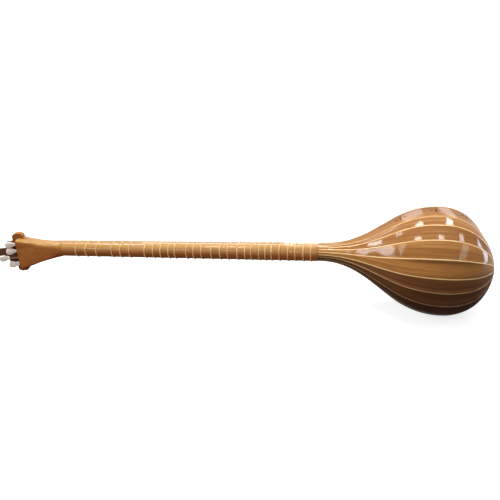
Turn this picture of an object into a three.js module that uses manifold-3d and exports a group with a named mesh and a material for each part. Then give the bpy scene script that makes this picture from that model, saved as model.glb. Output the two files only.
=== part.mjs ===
// A long-necked four-string lute with a deep bowl of eleven staves, a round-backed neck with
// tied gut frets and a worm-geared head, lying on its side in millimetres.
// +X runs along the neck from the bowl to the head, +Y from the soundboard to the back, +Z up.
// Pieces are worked out with x = 0 at the nut and y = 0 in the plane of the soundboard's front.

import * as THREE from "three";
import { mergeVertices } from "three/addons/utils/BufferGeometryUtils.js";
import Module from "manifold-3d";

const wasm = await Module();
wasm.setup();

// Clearances
const seam = 0.3; // between glued pieces that meet along curved or slanted faces
const seat = 0.05; // between flat faces square to the axes
const overrun = 8; // how far a cut runs past what it cuts
const mergeDistance = 1e-4; // between corners that count as one

// Strings and their rests
const scaleLength = 660;
const stringsAtNut = [7.6, 5.4, -1.2, -7.6]; // height of each string at the nut, from the middle
const stringsAtBridge = [13, 10.2, -1.4, -13];
const stringsAtTail = [9, 4, -4, -9];
const stringRadius = [0.3, 0.25, 0.2, 0.2];
const stringSides = 8;
const nutLength = 22;
const nutWidth = 4.4;
const nutHeight = 1.6;
const stringLift = 0.12; // clear height of a string over the nut, bridge or holder that it crosses
const bridgeLength = 54;
const bridgeHeight = 9;
const bridgeFootWidth = 5;
const bridgeTopWidth = 1.6;
const bridgeArchHeight = 4.6;
const bridgeFootLength = 13;

// Neck
const neckHalfAtNut = 12.4;
const neckHalfAtJoint = 13.05;
const neckShare = 0.7015; // of the scale length, from the nut to the joint with the bowl
const neckLength = scaleLength * neckShare;
const neckStep = Math.PI / 8; // turn between the facets of the rounded back

// Frets of wound gut
const fretSteps = [
  90, 144, 204, 294, 345, 400, 498, 553, 603, 657, 702, 786, 839, 899, 979, 1050, 1115, 1200, 1271, 1328,
  1404, 1467, 1531, 1616, 1714, 1800, 1902, 1999,
]; // pitch of each fret above the open string, in hundredths of a semitone
const octave = 1200;
const gutThickness = 0.5;
const gutPitch = 0.95; // from one turn of gut to the next
const gutTurns = 3;
const gutClearance = 0.15;

// Bowl
const bowlLength = 257.6;
const bowlHalfWidth = 75.3;
const bowlDepth = 135;
const ribThickness = 3;
const ribAngle = (20.4 * Math.PI) / 180; // turn from one rib joint to the next round the back
const tailInset = 3; // how far the rim stops short of the bulge at the tail
const tailHalfWidth = 4; // half width at which the ribs stop at the tail
const stationCount = 20;
const widthShares = [0.175, 0.2, 0.3, 0.5, 0.805, 1.17, 1.51, 1.82, 2.13, 2.38, 2.46];
const centreShares = [0.095, 0.122, 0.174, 0.25, 0.326, 0.38, 0.407, 0.429, 0.444, 0.457, 0.444];
const rimShare = 0.99; // half width at the rim over that of the belly
const shoulderShare = 0.88; // depth of the side rib's lower edge over that of the belly's centre
const sectionPower = 1.12; // 1 would be a half circle across the belly
const thinningShare = 0.5; // most of the local half width that a rib's thickness may take

// Soundboard, blocks and holder
const boardThickness = 3;
const holeSides = 6;
const boardHoleRadius = 1.3;
const boardHoleSpacing = 7;
const boardHoleRows = [1, 2, 3, 2, 1];
const boardHolesShare = 0.54; // of the bowl's length, to the middle of the soundboard's holes
const ribHoleRadius = 1.1;
const ribHoleSpacing = 6;
const ribHoleDepth = 22; // of the middle of a side rib's group of holes, below the soundboard's front
const ribHoleShares = [0.494, 0.69, 0.859]; // of the bowl's length, to the middle of each group
const ribHolePattern = [
  [-1, 0],
  [1, 0],
  [0, -1],
  [0, 1],
]; // places of a group's holes, in spacings
const neckBlockLength = 42;
const endBlockLength = 30;
const endBlockWidth = 44;
const endBlockDepth = 56;
const holderThickness = 3.4;
const holderHalfLength = 12;
const holderRise = 2.4; // above the soundboard's front
const holderDrop = 9; // behind the soundboard's front
const holderSteps = 8;

// Head, which leans back from the nut
const headTilt = (16.3 * Math.PI) / 180;
const headStart = 3; // from the nut's middle to the head's end face
const plateThickness = 4.7;
const boxLength = 75.4;
const boxDepth = 27.5; // from the plate's front to the box's back
const boxDepthAtNeck = 25.2;
const boxDepthShares = [0, 0.5, 0.9, 1, 1]; // of the growth from the neck's depth to the full one
const boxHalfAtNeck = 12.9;
const boxHalfAtEnd = 27;
const boxWidthShares = [0, 0.24, 0.49, 0.75, 1]; // of the flare from the neck to the end
const boxPowers = [1, 0.55, 0.38, 0.28, 0.24]; // 1 is a round back and 0 a square one
const boxWall = 3;
const boxEndWall = 5;
const boxFloor = 4.1;
const earHalfWidth = 35.4;
const earDepth = 11.4; // from the plate's front to the ears' back
const earRoot = 20.4; // from the box's end back to where an ear's curve leaves the flare
const earReach = 9.6; // of the ears past the box's end
const earLength = 19.4;
const earInner = 20; // half of the gap between the ears past the box's end
const earCorner = 7;
const earCornerSteps = 4;
const earCurveSteps = 6;
const tongueHalfWidth = 7.5;
const tongueReach = 36; // past the ears
const tongueCorner = 4;
const shoulderReach = 15; // of the plate's wide part past the ears
const shoulderCorner = 2;

// Tuners
const keyHeights = [18.6, 6.2, -6.2, -18.6];
const keyExtra = [0, 0, 14.5, 0]; // how much longer each shaft is than the shortest
const keyDepth = 20; // of the shafts behind the plate's front
const postShares = [1, 0.3, 0.66, 1]; // place of each post in the room that the wheels have along the head
const wheelRoom = 5; // from a post's axis to the nearest wall along the head
const wheelTeeth = 12;
const wormPitch = 2;
const wormRadius = 2.4;
const wormCore = 1.2;
const wormTurns = 3;
const wormSteps = 10;
const wormCoreSides = 11;
const threadTopShare = 0.25; // of the pitch, across the crest
const threadRootShare = 0.55;
const toothDepth = 1.2;
const wheelThickness = 3;
const gearSpacing = 5.8; // from a worm's axis to its wheel's
const shaftRadius = 1.5;
const shaftClearance = 0.3;
const collarRadius = 2.6;
const innerCollarRadius = 2.25;
const collarThickness = 1.2;
const stemLength = 2.7;
const buttonLength = 19;
const buttonWidth = 11.6;
const buttonThickness = 7;
const buttonSides = 10;
const buttonShares = [0, 0.28, 0.46, 0.64, 0.88, 0.97, 1]; // places of its rings along it
const buttonFullness = [0.34, 0.42, 0.76, 1, 0.94, 0.7, 0.36]; // of its full section
const postRadius = 2;
const postCollar = 2.6;
const postRise = 13;
const postCollarRise = 3;
const postWaistRise = 8.5;
const postFoot = 2; // how far the post stands in the floor
const postSides = 10;

const along = (from, to, share) => from + (to - from) * share;

// A closed solid from rings of [x, y, z] points, joined one to the next and capped at both ends.
function loft(rings) {
  const size = rings[0].length;
  const faces = [];
  for (let ring = 0; ring + 1 < rings.length; ring++)
    for (let i = 0; i < size; i++) {
      const a = ring * size + i;
      const b = ring * size + ((i + 1) % size);
      faces.push(a, b, b + size, a, b + size, a + size);
    }
  const flat = (ring) => {
    const [ax, ay, az] = ring[0];
    const normal = new THREE.Vector3();
    for (let i = 1; i + 1 < size; i++) {
      const p = new THREE.Vector3(ring[i][0] - ax, ring[i][1] - ay, ring[i][2] - az);
      const q = new THREE.Vector3(ring[i + 1][0] - ax, ring[i + 1][1] - ay, ring[i + 1][2] - az);
      normal.add(p.cross(q));
    }
    normal.normalize();
    const side = new THREE.Vector3(1, 0, 0);
    if (Math.abs(normal.x) > 1 / 2) side.set(0, 1, 0);
    const u = side.clone().cross(normal).normalize();
    const v = normal.clone().cross(u);
    return ring.map((corner) => {
      const place = new THREE.Vector3(...corner);
      return new THREE.Vector2(u.dot(place), v.dot(place));
    });
  };
  for (const [end, base] of [
    [0, 0],
    [1, (rings.length - 1) * size],
  ]) {
    const caps = THREE.ShapeUtils.triangulateShape(flat(rings[end ? rings.length - 1 : 0]), []);
    const turned = end ? ([a, b, c]) => [a, b, c] : ([a, b, c]) => [a, c, b];
    for (const cap of caps) faces.push(...turned(cap).map((i) => base + i));
  }
  return facedOut(rings.flat(2), faces);
}

// The same triangles, turned round if they enclose a negative volume.
function facedOut(positions, faces) {
  const point = (i) => new THREE.Vector3().fromArray(positions, 3 * i);
  let volume = 0;
  for (let i = 0; i < faces.length; i += 3) {
    volume += point(faces[i]).dot(point(faces[i + 1]).cross(point(faces[i + 2])));
  }
  const swapped = [0, 1, -1];
  if (volume < 0) faces = faces.map((_, i) => faces[i + swapped[i % 3]]);
  const geometry = new THREE.BufferGeometry();
  geometry.setAttribute("position", new THREE.Float32BufferAttribute(positions, 3));
  geometry.setIndex(faces);
  return geometry;
}

// Turns a closed geometry into a solid that can be joined and cut.
function solid(geometry) {
  const bare = geometry.clone();
  bare.deleteAttribute("normal");
  bare.deleteAttribute("uv");
  const merged = mergeVertices(bare, mergeDistance);
  return new wasm.Manifold(
    new wasm.Mesh({
      numProp: 3,
      vertProperties: new Float32Array(merged.attributes.position.array),
      triVerts: new Uint32Array(merged.index.array),
    }),
  );
}

function geometryOf(manifold) {
  const mesh = manifold.getMesh();
  const geometry = new THREE.BufferGeometry();
  geometry.setAttribute("position", new THREE.Float32BufferAttribute(Array.from(mesh.vertProperties), 3));
  geometry.setIndex(Array.from(mesh.triVerts));
  return geometry;
}

// A box between two corners.
function block([x0, y0, z0], [x1, y1, z1]) {
  const geometry = new THREE.BoxGeometry(x1 - x0, y1 - y0, z1 - z0);
  return geometry.translate((x0 + x1) / 2, (y0 + y1) / 2, (z0 + z1) / 2);
}

// A flat outline of [x, z] points with holes, raised from depth y0 to y1.
function board(outline, holes, y0, y1) {
  const points = outline.map(([x, z]) => new THREE.Vector2(x, -z));
  const shape = new THREE.Shape(THREE.ShapeUtils.isClockWise(points) ? points.reverse() : points);
  shape.holes = holes.map((hole) => new THREE.Path(hole.map(([x, z]) => new THREE.Vector2(x, -z))));
  const geometry = new THREE.ExtrudeGeometry(shape, { depth: y1 - y0, bevelEnabled: false, steps: 1 });
  return geometry.rotateX(-Math.PI / 2).translate(0, y0, 0);
}

function circlePoints(x, z, radius, sides) {
  const points = [];
  for (let i = 0; i < sides; i++) {
    const turn = (2 * Math.PI * i) / sides;
    points.push([x + radius * Math.cos(turn), z + radius * Math.sin(turn)]);
  }
  return points;
}

// A round bar along X between two places, on an axis at depth y and height z.
function bar(x0, x1, y, z, radius, sides) {
  const geometry = new THREE.CylinderGeometry(radius, radius, x1 - x0, sides);
  return geometry.rotateZ(-Math.PI / 2).translate((x0 + x1) / 2, y, z);
}

// A round bar along Y.
function peg(y0, y1, x, z, radius, sides) {
  return new THREE.CylinderGeometry(radius, radius, y1 - y0, sides).translate(x, (y0 + y1) / 2, z);
}

// Value of an evenly spaced table at a share of its length, with a smooth curve through its points.
function tableAt(table, share) {
  const place = share * (table.length - 1);
  const i = Math.min(Math.floor(place), table.length - 2);
  const p = table[Math.max(i - 1, 0)];
  const a = table[i];
  const b = table[i + 1];
  const n = table[Math.min(i + 2, table.length - 1)];
  const t = place - i;
  const bend = (n - p + 3 * (a - b)) * t + 2 * p - 5 * a + 4 * b - n;
  return a + (t / 2) * (b - p + t * bend);
}

// The bowl's section at a share of its length: half width and depth of the belly's centre.
const halfWidthAt = (share) => bowlHalfWidth * tableAt(widthShares, share) * Math.sqrt(1 - share);
const centreAt = (share) => bowlDepth * tableAt(centreShares, share);

// Shares of the bowl's length, closer together towards the round tail.
const tailShare = 1 - (tailHalfWidth / (bowlHalfWidth * widthShares[widthShares.length - 1])) ** 2;
const stations = [];
for (let i = 0; i <= stationCount; i++) {
  stations.push(1 - (1 - (i / stationCount) * (1 - Math.sqrt(1 - tailShare))) ** 2);
}

// Rib joints are numbered from 0 at the lower rim to 11 at the upper rim.
const ribCount = 11;
const jointCount = ribCount + 1;

// One rib joint at a station, moved inwards by a distance.
function ribPoint(joint, share, inwards) {
  const half = halfWidthAt(share);
  const centre = centreAt(share);
  const side = joint < jointCount / 2 ? -1 : 1;
  const step = Math.min(joint, jointCount - 1 - joint);
  const x = -neckLength - share * (bowlLength - inwards);
  if (step === 0) {
    const rimX = -neckLength - share * (bowlLength - tailInset - inwards);
    return [rimX, boardThickness + seam, side * (half * rimShare - inwards)];
  }
  if (step === 1) return [x, centre * shoulderShare, side * (half - inwards)];
  const turn = (jointCount / 2 - step - 1 / 2) * ribAngle;
  const radius = 1 - inwards / half;
  const y = centre + half * radius * Math.cos(turn) ** sectionPower;
  return [x, y, side * half * radius * Math.sin(turn) ** sectionPower];
}

const ribThicknessAt = (share) => Math.min(ribThickness, halfWidthAt(share) * thinningShare);

// A stave between two rib joints, with half a seam left along each long edge.
function ribGeometry(joint) {
  const rings = stations.map((share) => {
    const trim = (a, b) => {
      const from = new THREE.Vector3(...a);
      const to = new THREE.Vector3(...b);
      return from.add(to.sub(from).setLength(seam / 2)).toArray();
    };
    const deep = ribThicknessAt(share);
    const outer = [ribPoint(joint, share, 0), ribPoint(joint + 1, share, 0)];
    const inner = [ribPoint(joint, share, deep), ribPoint(joint + 1, share, deep)];
    return [
      trim(outer[0], outer[1]),
      trim(outer[1], outer[0]),
      trim(inner[1], inner[0]),
      trim(inner[0], inner[1]),
    ];
  });
  return loft(rings);
}

// The side ribs' groups of small sound holes, as bars to cut them with.
function ribHoleCutters() {
  const cutters = [];
  for (const share of ribHoleShares) {
    for (const [dx, dy] of ribHolePattern) {
      const x = -neckLength - share * bowlLength + dx * ribHoleSpacing;
      const y = ribHoleDepth + dy * ribHoleSpacing;
      const reach = 2 * bowlHalfWidth + overrun;
      const cutter = new THREE.CylinderGeometry(ribHoleRadius, ribHoleRadius, reach, holeSides);
      cutters.push(solid(cutter.rotateX(Math.PI / 2).translate(x, y, 0)));
    }
  }
  return cutters;
}

// The room inside the ribs, less a seam.
function cavity() {
  return solid(
    loft(
      stations.map((share) => {
        const ring = [];
        const deep = ribThicknessAt(share) + seam;
        for (let joint = 0; joint < jointCount; joint++) ring.push(ribPoint(joint, share, deep));
        return ring;
      }),
    ),
  );
}

function piece(name, geometry, look, group = instrument) {
  const mesh = new THREE.Mesh(geometry, new THREE.MeshStandardMaterial(look));
  mesh.name = name;
  group.add(mesh);
}

const ribWood = { color: 0x965f32, roughness: 0.35, metalness: 0 };
const neckWood = { color: 0xc8965a, roughness: 0.4, metalness: 0 };
const boardWood = { color: 0xd8b888, roughness: 0.55, metalness: 0 };
const darkWood = { color: 0x4e2c1a, roughness: 0.4, metalness: 0 };
const headWood = { color: 0x8a4e24, roughness: 0.4, metalness: 0 };
const blockWood = { color: 0xc9a878, roughness: 0.7, metalness: 0 };
const bone = { color: 0xe8dec8, roughness: 0.35, metalness: 0 };
const gut = { color: 0xd8c69c, roughness: 0.5, metalness: 0 };
const steel = { color: 0xc8c8c8, roughness: 0.25, metalness: 1 };
const brass = { color: 0xb8924a, roughness: 0.3, metalness: 1 };

const instrument = new THREE.Group();

// Bowl
const ribNames = ["side_rib_lower", "rib_1", "rib_2", "rib_3", "rib_4", "rib_5_centre"];
ribNames.push("rib_6", "rib_7", "rib_8", "rib_9", "side_rib_upper");
for (let joint = 0; joint < ribCount; joint++) {
  let geometry = ribGeometry(joint);
  if (joint === 0 || joint === ribCount - 1) {
    geometry = geometryOf(ribHoleCutters().reduce((left, cutter) => left.subtract(cutter), solid(geometry)));
  }
  piece(ribNames[joint], geometry, ribWood);
}

const upperRim = stations.map((share) => ribPoint(ribCount, share, 0));
const boardOutline = upperRim.map(([x, , z]) => [x, z]);
boardOutline.push(...[...upperRim].reverse().map(([x, , z]) => [x, -z]));
const boardHoles = [];
boardHoleRows.forEach((count, row) => {
  const middle = -neckLength - boardHolesShare * bowlLength;
  const x = middle - (row - (boardHoleRows.length - 1) / 2) * boardHoleSpacing;
  for (let i = 0; i < count; i++) {
    const z = (i - (count - 1) / 2) * boardHoleSpacing;
    boardHoles.push(circlePoints(x, z, boardHoleRadius, holeSides));
  }
});
piece("soundboard", board(boardOutline, boardHoles, 0, boardThickness), boardWood);

const hollow = cavity();
const blockTop = boardThickness + seam;
const neckBlock = block(
  [-neckLength - neckBlockLength, 0, -bowlHalfWidth],
  [-neckLength + overrun, bowlDepth, bowlHalfWidth],
);
piece("neck_block", geometryOf(hollow.intersect(solid(neckBlock))), blockWood);
const endBlock = block(
  [-neckLength - bowlLength - overrun, blockTop, -endBlockWidth / 2],
  [-neckLength - bowlLength + endBlockLength, endBlockDepth, endBlockWidth / 2],
);
piece("end_block", geometryOf(hollow.intersect(solid(endBlock))), blockWood);

// The holder is a curved saddle that carries the strings over the tail's edge
function rimAt(z) {
  const halvings = 30;
  let near = 1 / 2;
  let far = 1;
  for (let i = 0; i < halvings; i++) {
    const share = (near + far) / 2;
    if (halfWidthAt(share) * rimShare > Math.abs(z)) near = share;
    else far = share;
  }
  return -neckLength - near * (bowlLength - tailInset);
}
const holderGap = seam + tailInset * (holderDrop / (centreAt(1) * shoulderShare));
const holderPlaces = [];
for (let i = 0; i <= holderSteps; i++) {
  holderPlaces.push(along(-holderHalfLength, holderHalfLength, i / holderSteps));
}
const holderSide = (outwards) =>
  holderPlaces.map((z) => {
    const slope = (rimAt(z + seam) - rimAt(z - seam)) / (2 * seam);
    const reach = Math.hypot(1, slope);
    return [rimAt(z) - outwards / reach, z + (outwards * slope) / reach];
  });
const holderOutline = [...holderSide(holderGap), ...holderSide(holderGap + holderThickness).reverse()];
piece("string_holder", board(holderOutline, [], -holderRise, holderDrop), bone);
const acrossX = (outline, x0, x1) =>
  loft([outline.map(([z, y]) => [x0, y, z]), outline.map(([z, y]) => [x1, y, z])]);

// Neck: a ring of points at a place x, moved outwards by a distance
const neckTurns = [];
for (let i = 0; i <= Math.round(Math.PI / neckStep); i++) neckTurns.push(-Math.PI / 2 + i * neckStep);
const neckHalfAt = (x) => along(neckHalfAtNut, neckHalfAtJoint, -x / neckLength);

function neckRing(x, outwards) {
  const half = neckHalfAt(x);
  const mitre = outwards / Math.cos(neckStep / 2);
  const ring = neckTurns.map((turn, i) => {
    const end = i === 0 || i === neckTurns.length - 1;
    const reach = end ? outwards : mitre;
    return [x, half + (half + reach) * Math.cos(turn), (half + reach) * Math.sin(turn)];
  });
  ring.push([x, -outwards, half + outwards], [x, -outwards, -half - outwards]);
  return ring;
}

// The head's frame leans back about the nut, with x along the head, y its depth and z up
const head = new THREE.Group();
head.rotation.z = headTilt;
instrument.add(head);

const headCut = block(
  [headStart - seam, -overrun, -boxHalfAtEnd],
  [headStart + boxLength, boxDepth + overrun, boxHalfAtEnd],
).rotateZ(headTilt);
const neckBlank = loft([neckRing(-neckLength + seam, 0), neckRing(overrun, 0)]);
piece("neck", geometryOf(solid(neckBlank).subtract(solid(headCut))), neckWood);

const nutOutline = [
  [nutLength / 2, -seat],
  [nutLength / 2 - nutHeight / 2, -nutHeight],
  [-nutLength / 2 + nutHeight / 2, -nutHeight],
  [-nutLength / 2, -seat],
];
piece("nut", acrossX(nutOutline, -nutWidth / 2, nutWidth / 2), bone);

// Frets: each is one unbroken length of gut wound round the neck
function fretGeometry(x) {
  const size = neckTurns.length + 2;
  const rings = [];
  for (let step = 0; step <= gutTurns * size; step++) {
    const place = x + (step / size - gutTurns / 2) * gutPitch;
    const corner = step % size;
    const ring = [];
    for (const [side, outwards] of [
      [-1, gutClearance],
      [1, gutClearance],
      [1, gutClearance + gutThickness],
      [-1, gutClearance + gutThickness],
    ]) {
      const [, y, z] = neckRing(place, outwards)[corner];
      ring.push([place + (side * gutThickness) / 2, y, z]);
    }
    rings.push(ring);
  }
  return rings;
}

// The least gap between one turn of gut and the next, measured on the rings' own points
function leastTurnGap(rings) {
  const size = neckTurns.length + 2;
  let least = Infinity;
  for (let step = 0; step + size < rings.length; step++) {
    for (const a of rings[step]) {
      for (const b of rings[step + size]) {
        least = Math.min(least, Math.hypot(a[0] - b[0], a[1] - b[1], a[2] - b[2]));
      }
    }
  }
  return least;
}

const fretPlaces = fretSteps.map((step) => -scaleLength * (1 - 2 ** (-step / octave)));
let gutGap = Infinity;
fretPlaces.forEach((x, i) => {
  const rings = fretGeometry(x);
  gutGap = Math.min(gutGap, leastTurnGap(rings));
  piece(`fret_${String(i + 1).padStart(2, "0")}`, loft(rings), gut);
});
console.log(`least gap between turns of fret gut: ${gutGap.toFixed(2)} mm`);

// Bridge: a thin arch on two feet, narrower at the top
function bridgeGeometry() {
  const half = bridgeLength / 2;
  const outline = [
    [half, -seat],
    [half, -bridgeHeight / 3],
    [half * (2 / 3), -bridgeHeight],
    [-half * (2 / 3), -bridgeHeight],
    [-half, -bridgeHeight / 3],
    [-half, -seat],
    [-half + bridgeFootLength, -seat],
    [-half + bridgeFootLength * (3 / 2), -bridgeArchHeight],
    [half - bridgeFootLength * (3 / 2), -bridgeArchHeight],
    [half - bridgeFootLength, -seat],
  ];
  const face = (side) =>
    outline.map(([z, y]) => {
      const width = along(bridgeFootWidth, bridgeTopWidth, -y / bridgeHeight);
      return [-scaleLength + (side * width) / 2, y, z];
    });
  return loft([face(-1), face(1)]);
}
piece("bridge", bridgeGeometry(), bone);

// Pegbox
const boxEnd = headStart + boxLength;
const boxHalfAt = (share) => along(boxHalfAtNeck, boxHalfAtEnd, tableAt(boxWidthShares, share));
const boxDepthAt = (share) => along(boxDepthAtNeck, boxDepth, tableAt(boxDepthShares, share));
const boxRing = (share, top) => {
  const half = boxHalfAt(share);
  const bottom = boxDepthAt(share);
  const power = tableAt(boxPowers, share);
  const middle = Math.min(half, (bottom - plateThickness) / 2) + plateThickness;
  const x = headStart + share * boxLength;
  const ring = neckTurns.map((turn) => [
    x,
    middle + (bottom - middle) * Math.abs(Math.cos(turn)) ** power,
    half * Math.sign(turn) * Math.abs(Math.sin(turn)) ** power,
  ]);
  ring.push([x, top, half], [x, top, -half]);
  return ring;
};
const boxStations = boxWidthShares.map((_, i) => i / (boxWidthShares.length - 1));
const boxTop = plateThickness + seam;
const boxBlank = loft(boxStations.map((share) => boxRing(share, boxTop)));

const earStart = boxEnd - earRoot;
const earEnd = boxEnd + earReach;
const tongueEnd = earEnd + tongueReach;
const shoulderEnd = earEnd + shoulderReach;

// Outline of one side of the head's front, from the neck to the ear's far corner
function earEdge() {
  const points = [[headStart, boxHalfAtNeck]];
  const knob = earEnd - earLength;
  const shareAt = (x) => (x - headStart) / boxLength;
  const bend = along(earStart, knob, 1 / 2);
  const curve = new THREE.CubicBezierCurve(
    new THREE.Vector2(earStart, boxHalfAt(shareAt(earStart))),
    new THREE.Vector2(bend, boxHalfAt(shareAt(bend))),
    new THREE.Vector2(knob, boxHalfAt(shareAt(knob))),
    new THREE.Vector2(knob, earHalfWidth - earCorner),
  );
  for (const share of boxStations.slice(1)) {
    const x = headStart + share * boxLength;
    if (x < earStart) points.push([x, boxHalfAt(share)]);
  }
  points.push(...curve.getPoints(earCurveSteps).map(({ x, y }) => [x, y]));
  for (const [x, from] of [
    [knob + earCorner, Math.PI],
    [earEnd - earCorner, Math.PI / 2],
  ]) {
    for (let i = 0; i <= earCornerSteps; i++) {
      const turn = from - ((i / earCornerSteps) * Math.PI) / 2;
      points.push([x + earCorner * Math.cos(turn), earHalfWidth - earCorner + earCorner * Math.sin(turn)]);
    }
  }
  return points.filter(([x, z], i) => {
    const [lastX, lastZ] = points[Math.max(i - 1, 0)];
    return i === 0 || Math.hypot(x - lastX, z - lastZ) > seat;
  });
}

// One ear: the outer part of the front's outline, down to a straight inner edge
function earGeometry(side) {
  const outer = earEdge().filter(([x]) => x >= earStart);
  const inner = [
    [earEnd, earInner],
    [boxEnd - boxEndWall, earInner],
    [earStart, boxHalfAtNeck],
  ];
  const outline = [...outer, ...inner].map(([x, z]) => [x, side * z]);
  return board(side > 0 ? outline : outline.reverse(), [], boxTop, earDepth);
}

const wheelTop = keyDepth - wheelThickness / 2;
const boxInside = boxDepth - boxFloor;
const firstPost = headStart + boxStations[1] * boxLength + wheelRoom;
const lastPost = boxEnd - boxEndWall - wheelRoom;
const posts = keyHeights.map((z, i) => ({
  x: along(firstPost, lastPost, postShares[i]),
  z: z - Math.sign(z) * gearSpacing,
  keyZ: z,
  side: Math.sign(z),
}));

function pegboxGeometry() {
  let box = solid(boxBlank);
  for (const side of [1, -1]) box = box.add(solid(earGeometry(side)));
  const inside = loft(
    boxStations.slice(1).map((share) => {
      const reach = Math.min(share, 1 - boxEndWall / boxLength);
      const half = boxHalfAt(reach) - boxWall;
      const x = headStart + reach * boxLength;
      return [
        [x, 0, half],
        [x, boxInside, half],
        [x, boxInside, -half],
        [x, 0, -half],
      ];
    }),
  );
  box = box.subtract(solid(inside));
  for (const { x, z, keyZ } of posts) {
    const from = boxEnd - boxEndWall - overrun;
    const hole = bar(from, boxEnd + overrun, keyDepth, keyZ, shaftRadius + shaftClearance, postSides);
    const foot = boxInside + postFoot + shaftClearance;
    const socket = peg(boxInside - seam, foot, x, z, postRadius + shaftClearance, postSides);
    box = box.subtract(solid(hole)).subtract(solid(socket));
  }
  return geometryOf(box);
}
piece("pegbox", pegboxGeometry(), headWood, head);

function plateGeometry() {
  const upper = earEdge();
  const tongue = [
    [earEnd, earInner],
    [shoulderEnd - shoulderCorner, earInner],
    [shoulderEnd, earInner - shoulderCorner],
    [shoulderEnd, tongueHalfWidth + shoulderCorner],
    [shoulderEnd + shoulderCorner, tongueHalfWidth],
    [tongueEnd - tongueCorner, tongueHalfWidth],
    [tongueEnd, tongueHalfWidth - tongueCorner],
  ];
  const half = [...upper, ...tongue];
  const outline = [...half, ...[...half].reverse().map(([x, z]) => [x, -z])];
  const holes = posts.map(({ x, z }) => circlePoints(x, z, postRadius + shaftClearance, postSides));
  return board(outline, holes, 0, plateThickness);
}
piece("head_plate", plateGeometry(), darkWood, head);

// A post with its wheel, whose teeth lean by the worm's lead angle
const pitchRadius = (wheelTeeth * wormPitch) / (2 * Math.PI);
const wheelTip = pitchRadius + toothDepth / 2;
const wheelRoot = pitchRadius - toothDepth / 2;
const wormMiddle = gearSpacing - pitchRadius;
const leadSlope = wormPitch / (2 * Math.PI * wormMiddle);

function wheelRing(x, y, z, facing, lean) {
  const ring = [];
  for (let tooth = 0; tooth < wheelTeeth; tooth++) {
    const middle = facing + lean + (2 * Math.PI * tooth) / wheelTeeth;
    for (const [radius, width] of [
      [wheelRoot, -threadRootShare],
      [wheelTip, -threadTopShare],
      [wheelTip, threadTopShare],
      [wheelRoot, threadRootShare],
    ]) {
      const turn = middle + (width * wormPitch) / 2 / pitchRadius;
      ring.push([x + radius * Math.sin(turn), y, z + radius * Math.cos(turn)]);
    }
  }
  return ring;
}

function postGeometry({ x, z, side }) {
  const facing = side > 0 ? 0 : Math.PI;
  const lean = ((wheelThickness / 2) * leadSlope) / pitchRadius;
  const wheel = loft([
    wheelRing(x, wheelTop, z, facing, -lean),
    wheelRing(x, wheelTop + wheelThickness, z, facing, lean),
  ]);
  const profile = [
    [0, -postRise],
    [postCollar, -postRise],
    [postCollar, -postRise + collarThickness],
    [postRadius, -postWaistRise],
    [postRadius, -postCollarRise - collarThickness],
    [postCollar, -postCollarRise],
    [postCollar, -seam],
    [postRadius, -seam],
    [postRadius, boxInside + postFoot],
    [0, boxInside + postFoot],
  ].map(([radius, y]) => new THREE.Vector2(radius, y));
  const pin = new THREE.LatheGeometry(profile, postSides).translate(x, 0, z);
  return geometryOf(solid(pin).add(solid(wheel)));
}

// A key: the shaft with its worm, two collars that trap it in the end wall, a stem and a button
function wormGeometry({ x, keyZ, side }) {
  const contact = side > 0 ? -Math.PI / 2 : Math.PI / 2;
  const rings = [];
  const steps = Math.round(wormTurns * wormSteps);
  for (let step = 0; step <= steps; step++) {
    const turn = contact + (2 * Math.PI * (step - steps / 2)) / wormSteps;
    const place = x + (wormPitch * (turn - contact)) / (2 * Math.PI) + wormPitch / 2;
    const root = (wormPitch * threadRootShare) / 2;
    const top = (wormPitch * threadTopShare) / 2;
    const buried = wormCore - seam;
    const ring = [];
    for (const [dx, radius] of [
      [-root, buried],
      [-top, wormRadius],
      [top, wormRadius],
      [root, buried],
    ]) {
      ring.push([place + dx, keyDepth + radius * Math.cos(turn), keyZ + radius * Math.sin(turn)]);
    }
    rings.push(ring);
  }
  return loft(rings);
}

function keyGeometry(post, extra) {
  const wormHalf = ((wormTurns + 1) * wormPitch) / 2;
  const buttonStart = boxEnd + stemLength + extra;
  const onAxis = (from, to, radius, sides) => bar(from, to, keyDepth, post.keyZ, radius, sides);
  const core = onAxis(post.x - wormHalf, post.x + wormHalf + wormPitch / 2, wormCore, wormCoreSides);
  const shaft = onAxis(post.x + wormHalf, buttonStart + buttonLength / 4, shaftRadius, postSides);
  const outerCollar = onAxis(boxEnd + seam, boxEnd + seam + collarThickness, collarRadius, postSides);
  const innerEnd = boxEnd - boxEndWall - seam;
  const innerCollar = onAxis(innerEnd - collarThickness, innerEnd, innerCollarRadius, postSides);
  const button = loft(
    buttonShares.map((share, ring) =>
      circlePoints(0, 0, buttonFullness[ring] / 2, buttonSides).map(([y, z]) => [
        buttonStart + share * buttonLength,
        keyDepth + y * buttonThickness,
        post.keyZ + z * buttonWidth,
      ]),
    ),
  );
  return geometryOf(
    [core, shaft, outerCollar, innerCollar, button].reduce(
      (whole, next) => whole.add(solid(next)),
      solid(wormGeometry(post)),
    ),
  );
}

posts.forEach((post, i) => {
  piece(`tuner_key_${i + 1}`, keyGeometry(post, keyExtra[i]), bone, head);
});
posts.forEach((post, i) => {
  piece(`tuner_post_${i + 1}`, postGeometry(post), brass, head);
});

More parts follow.
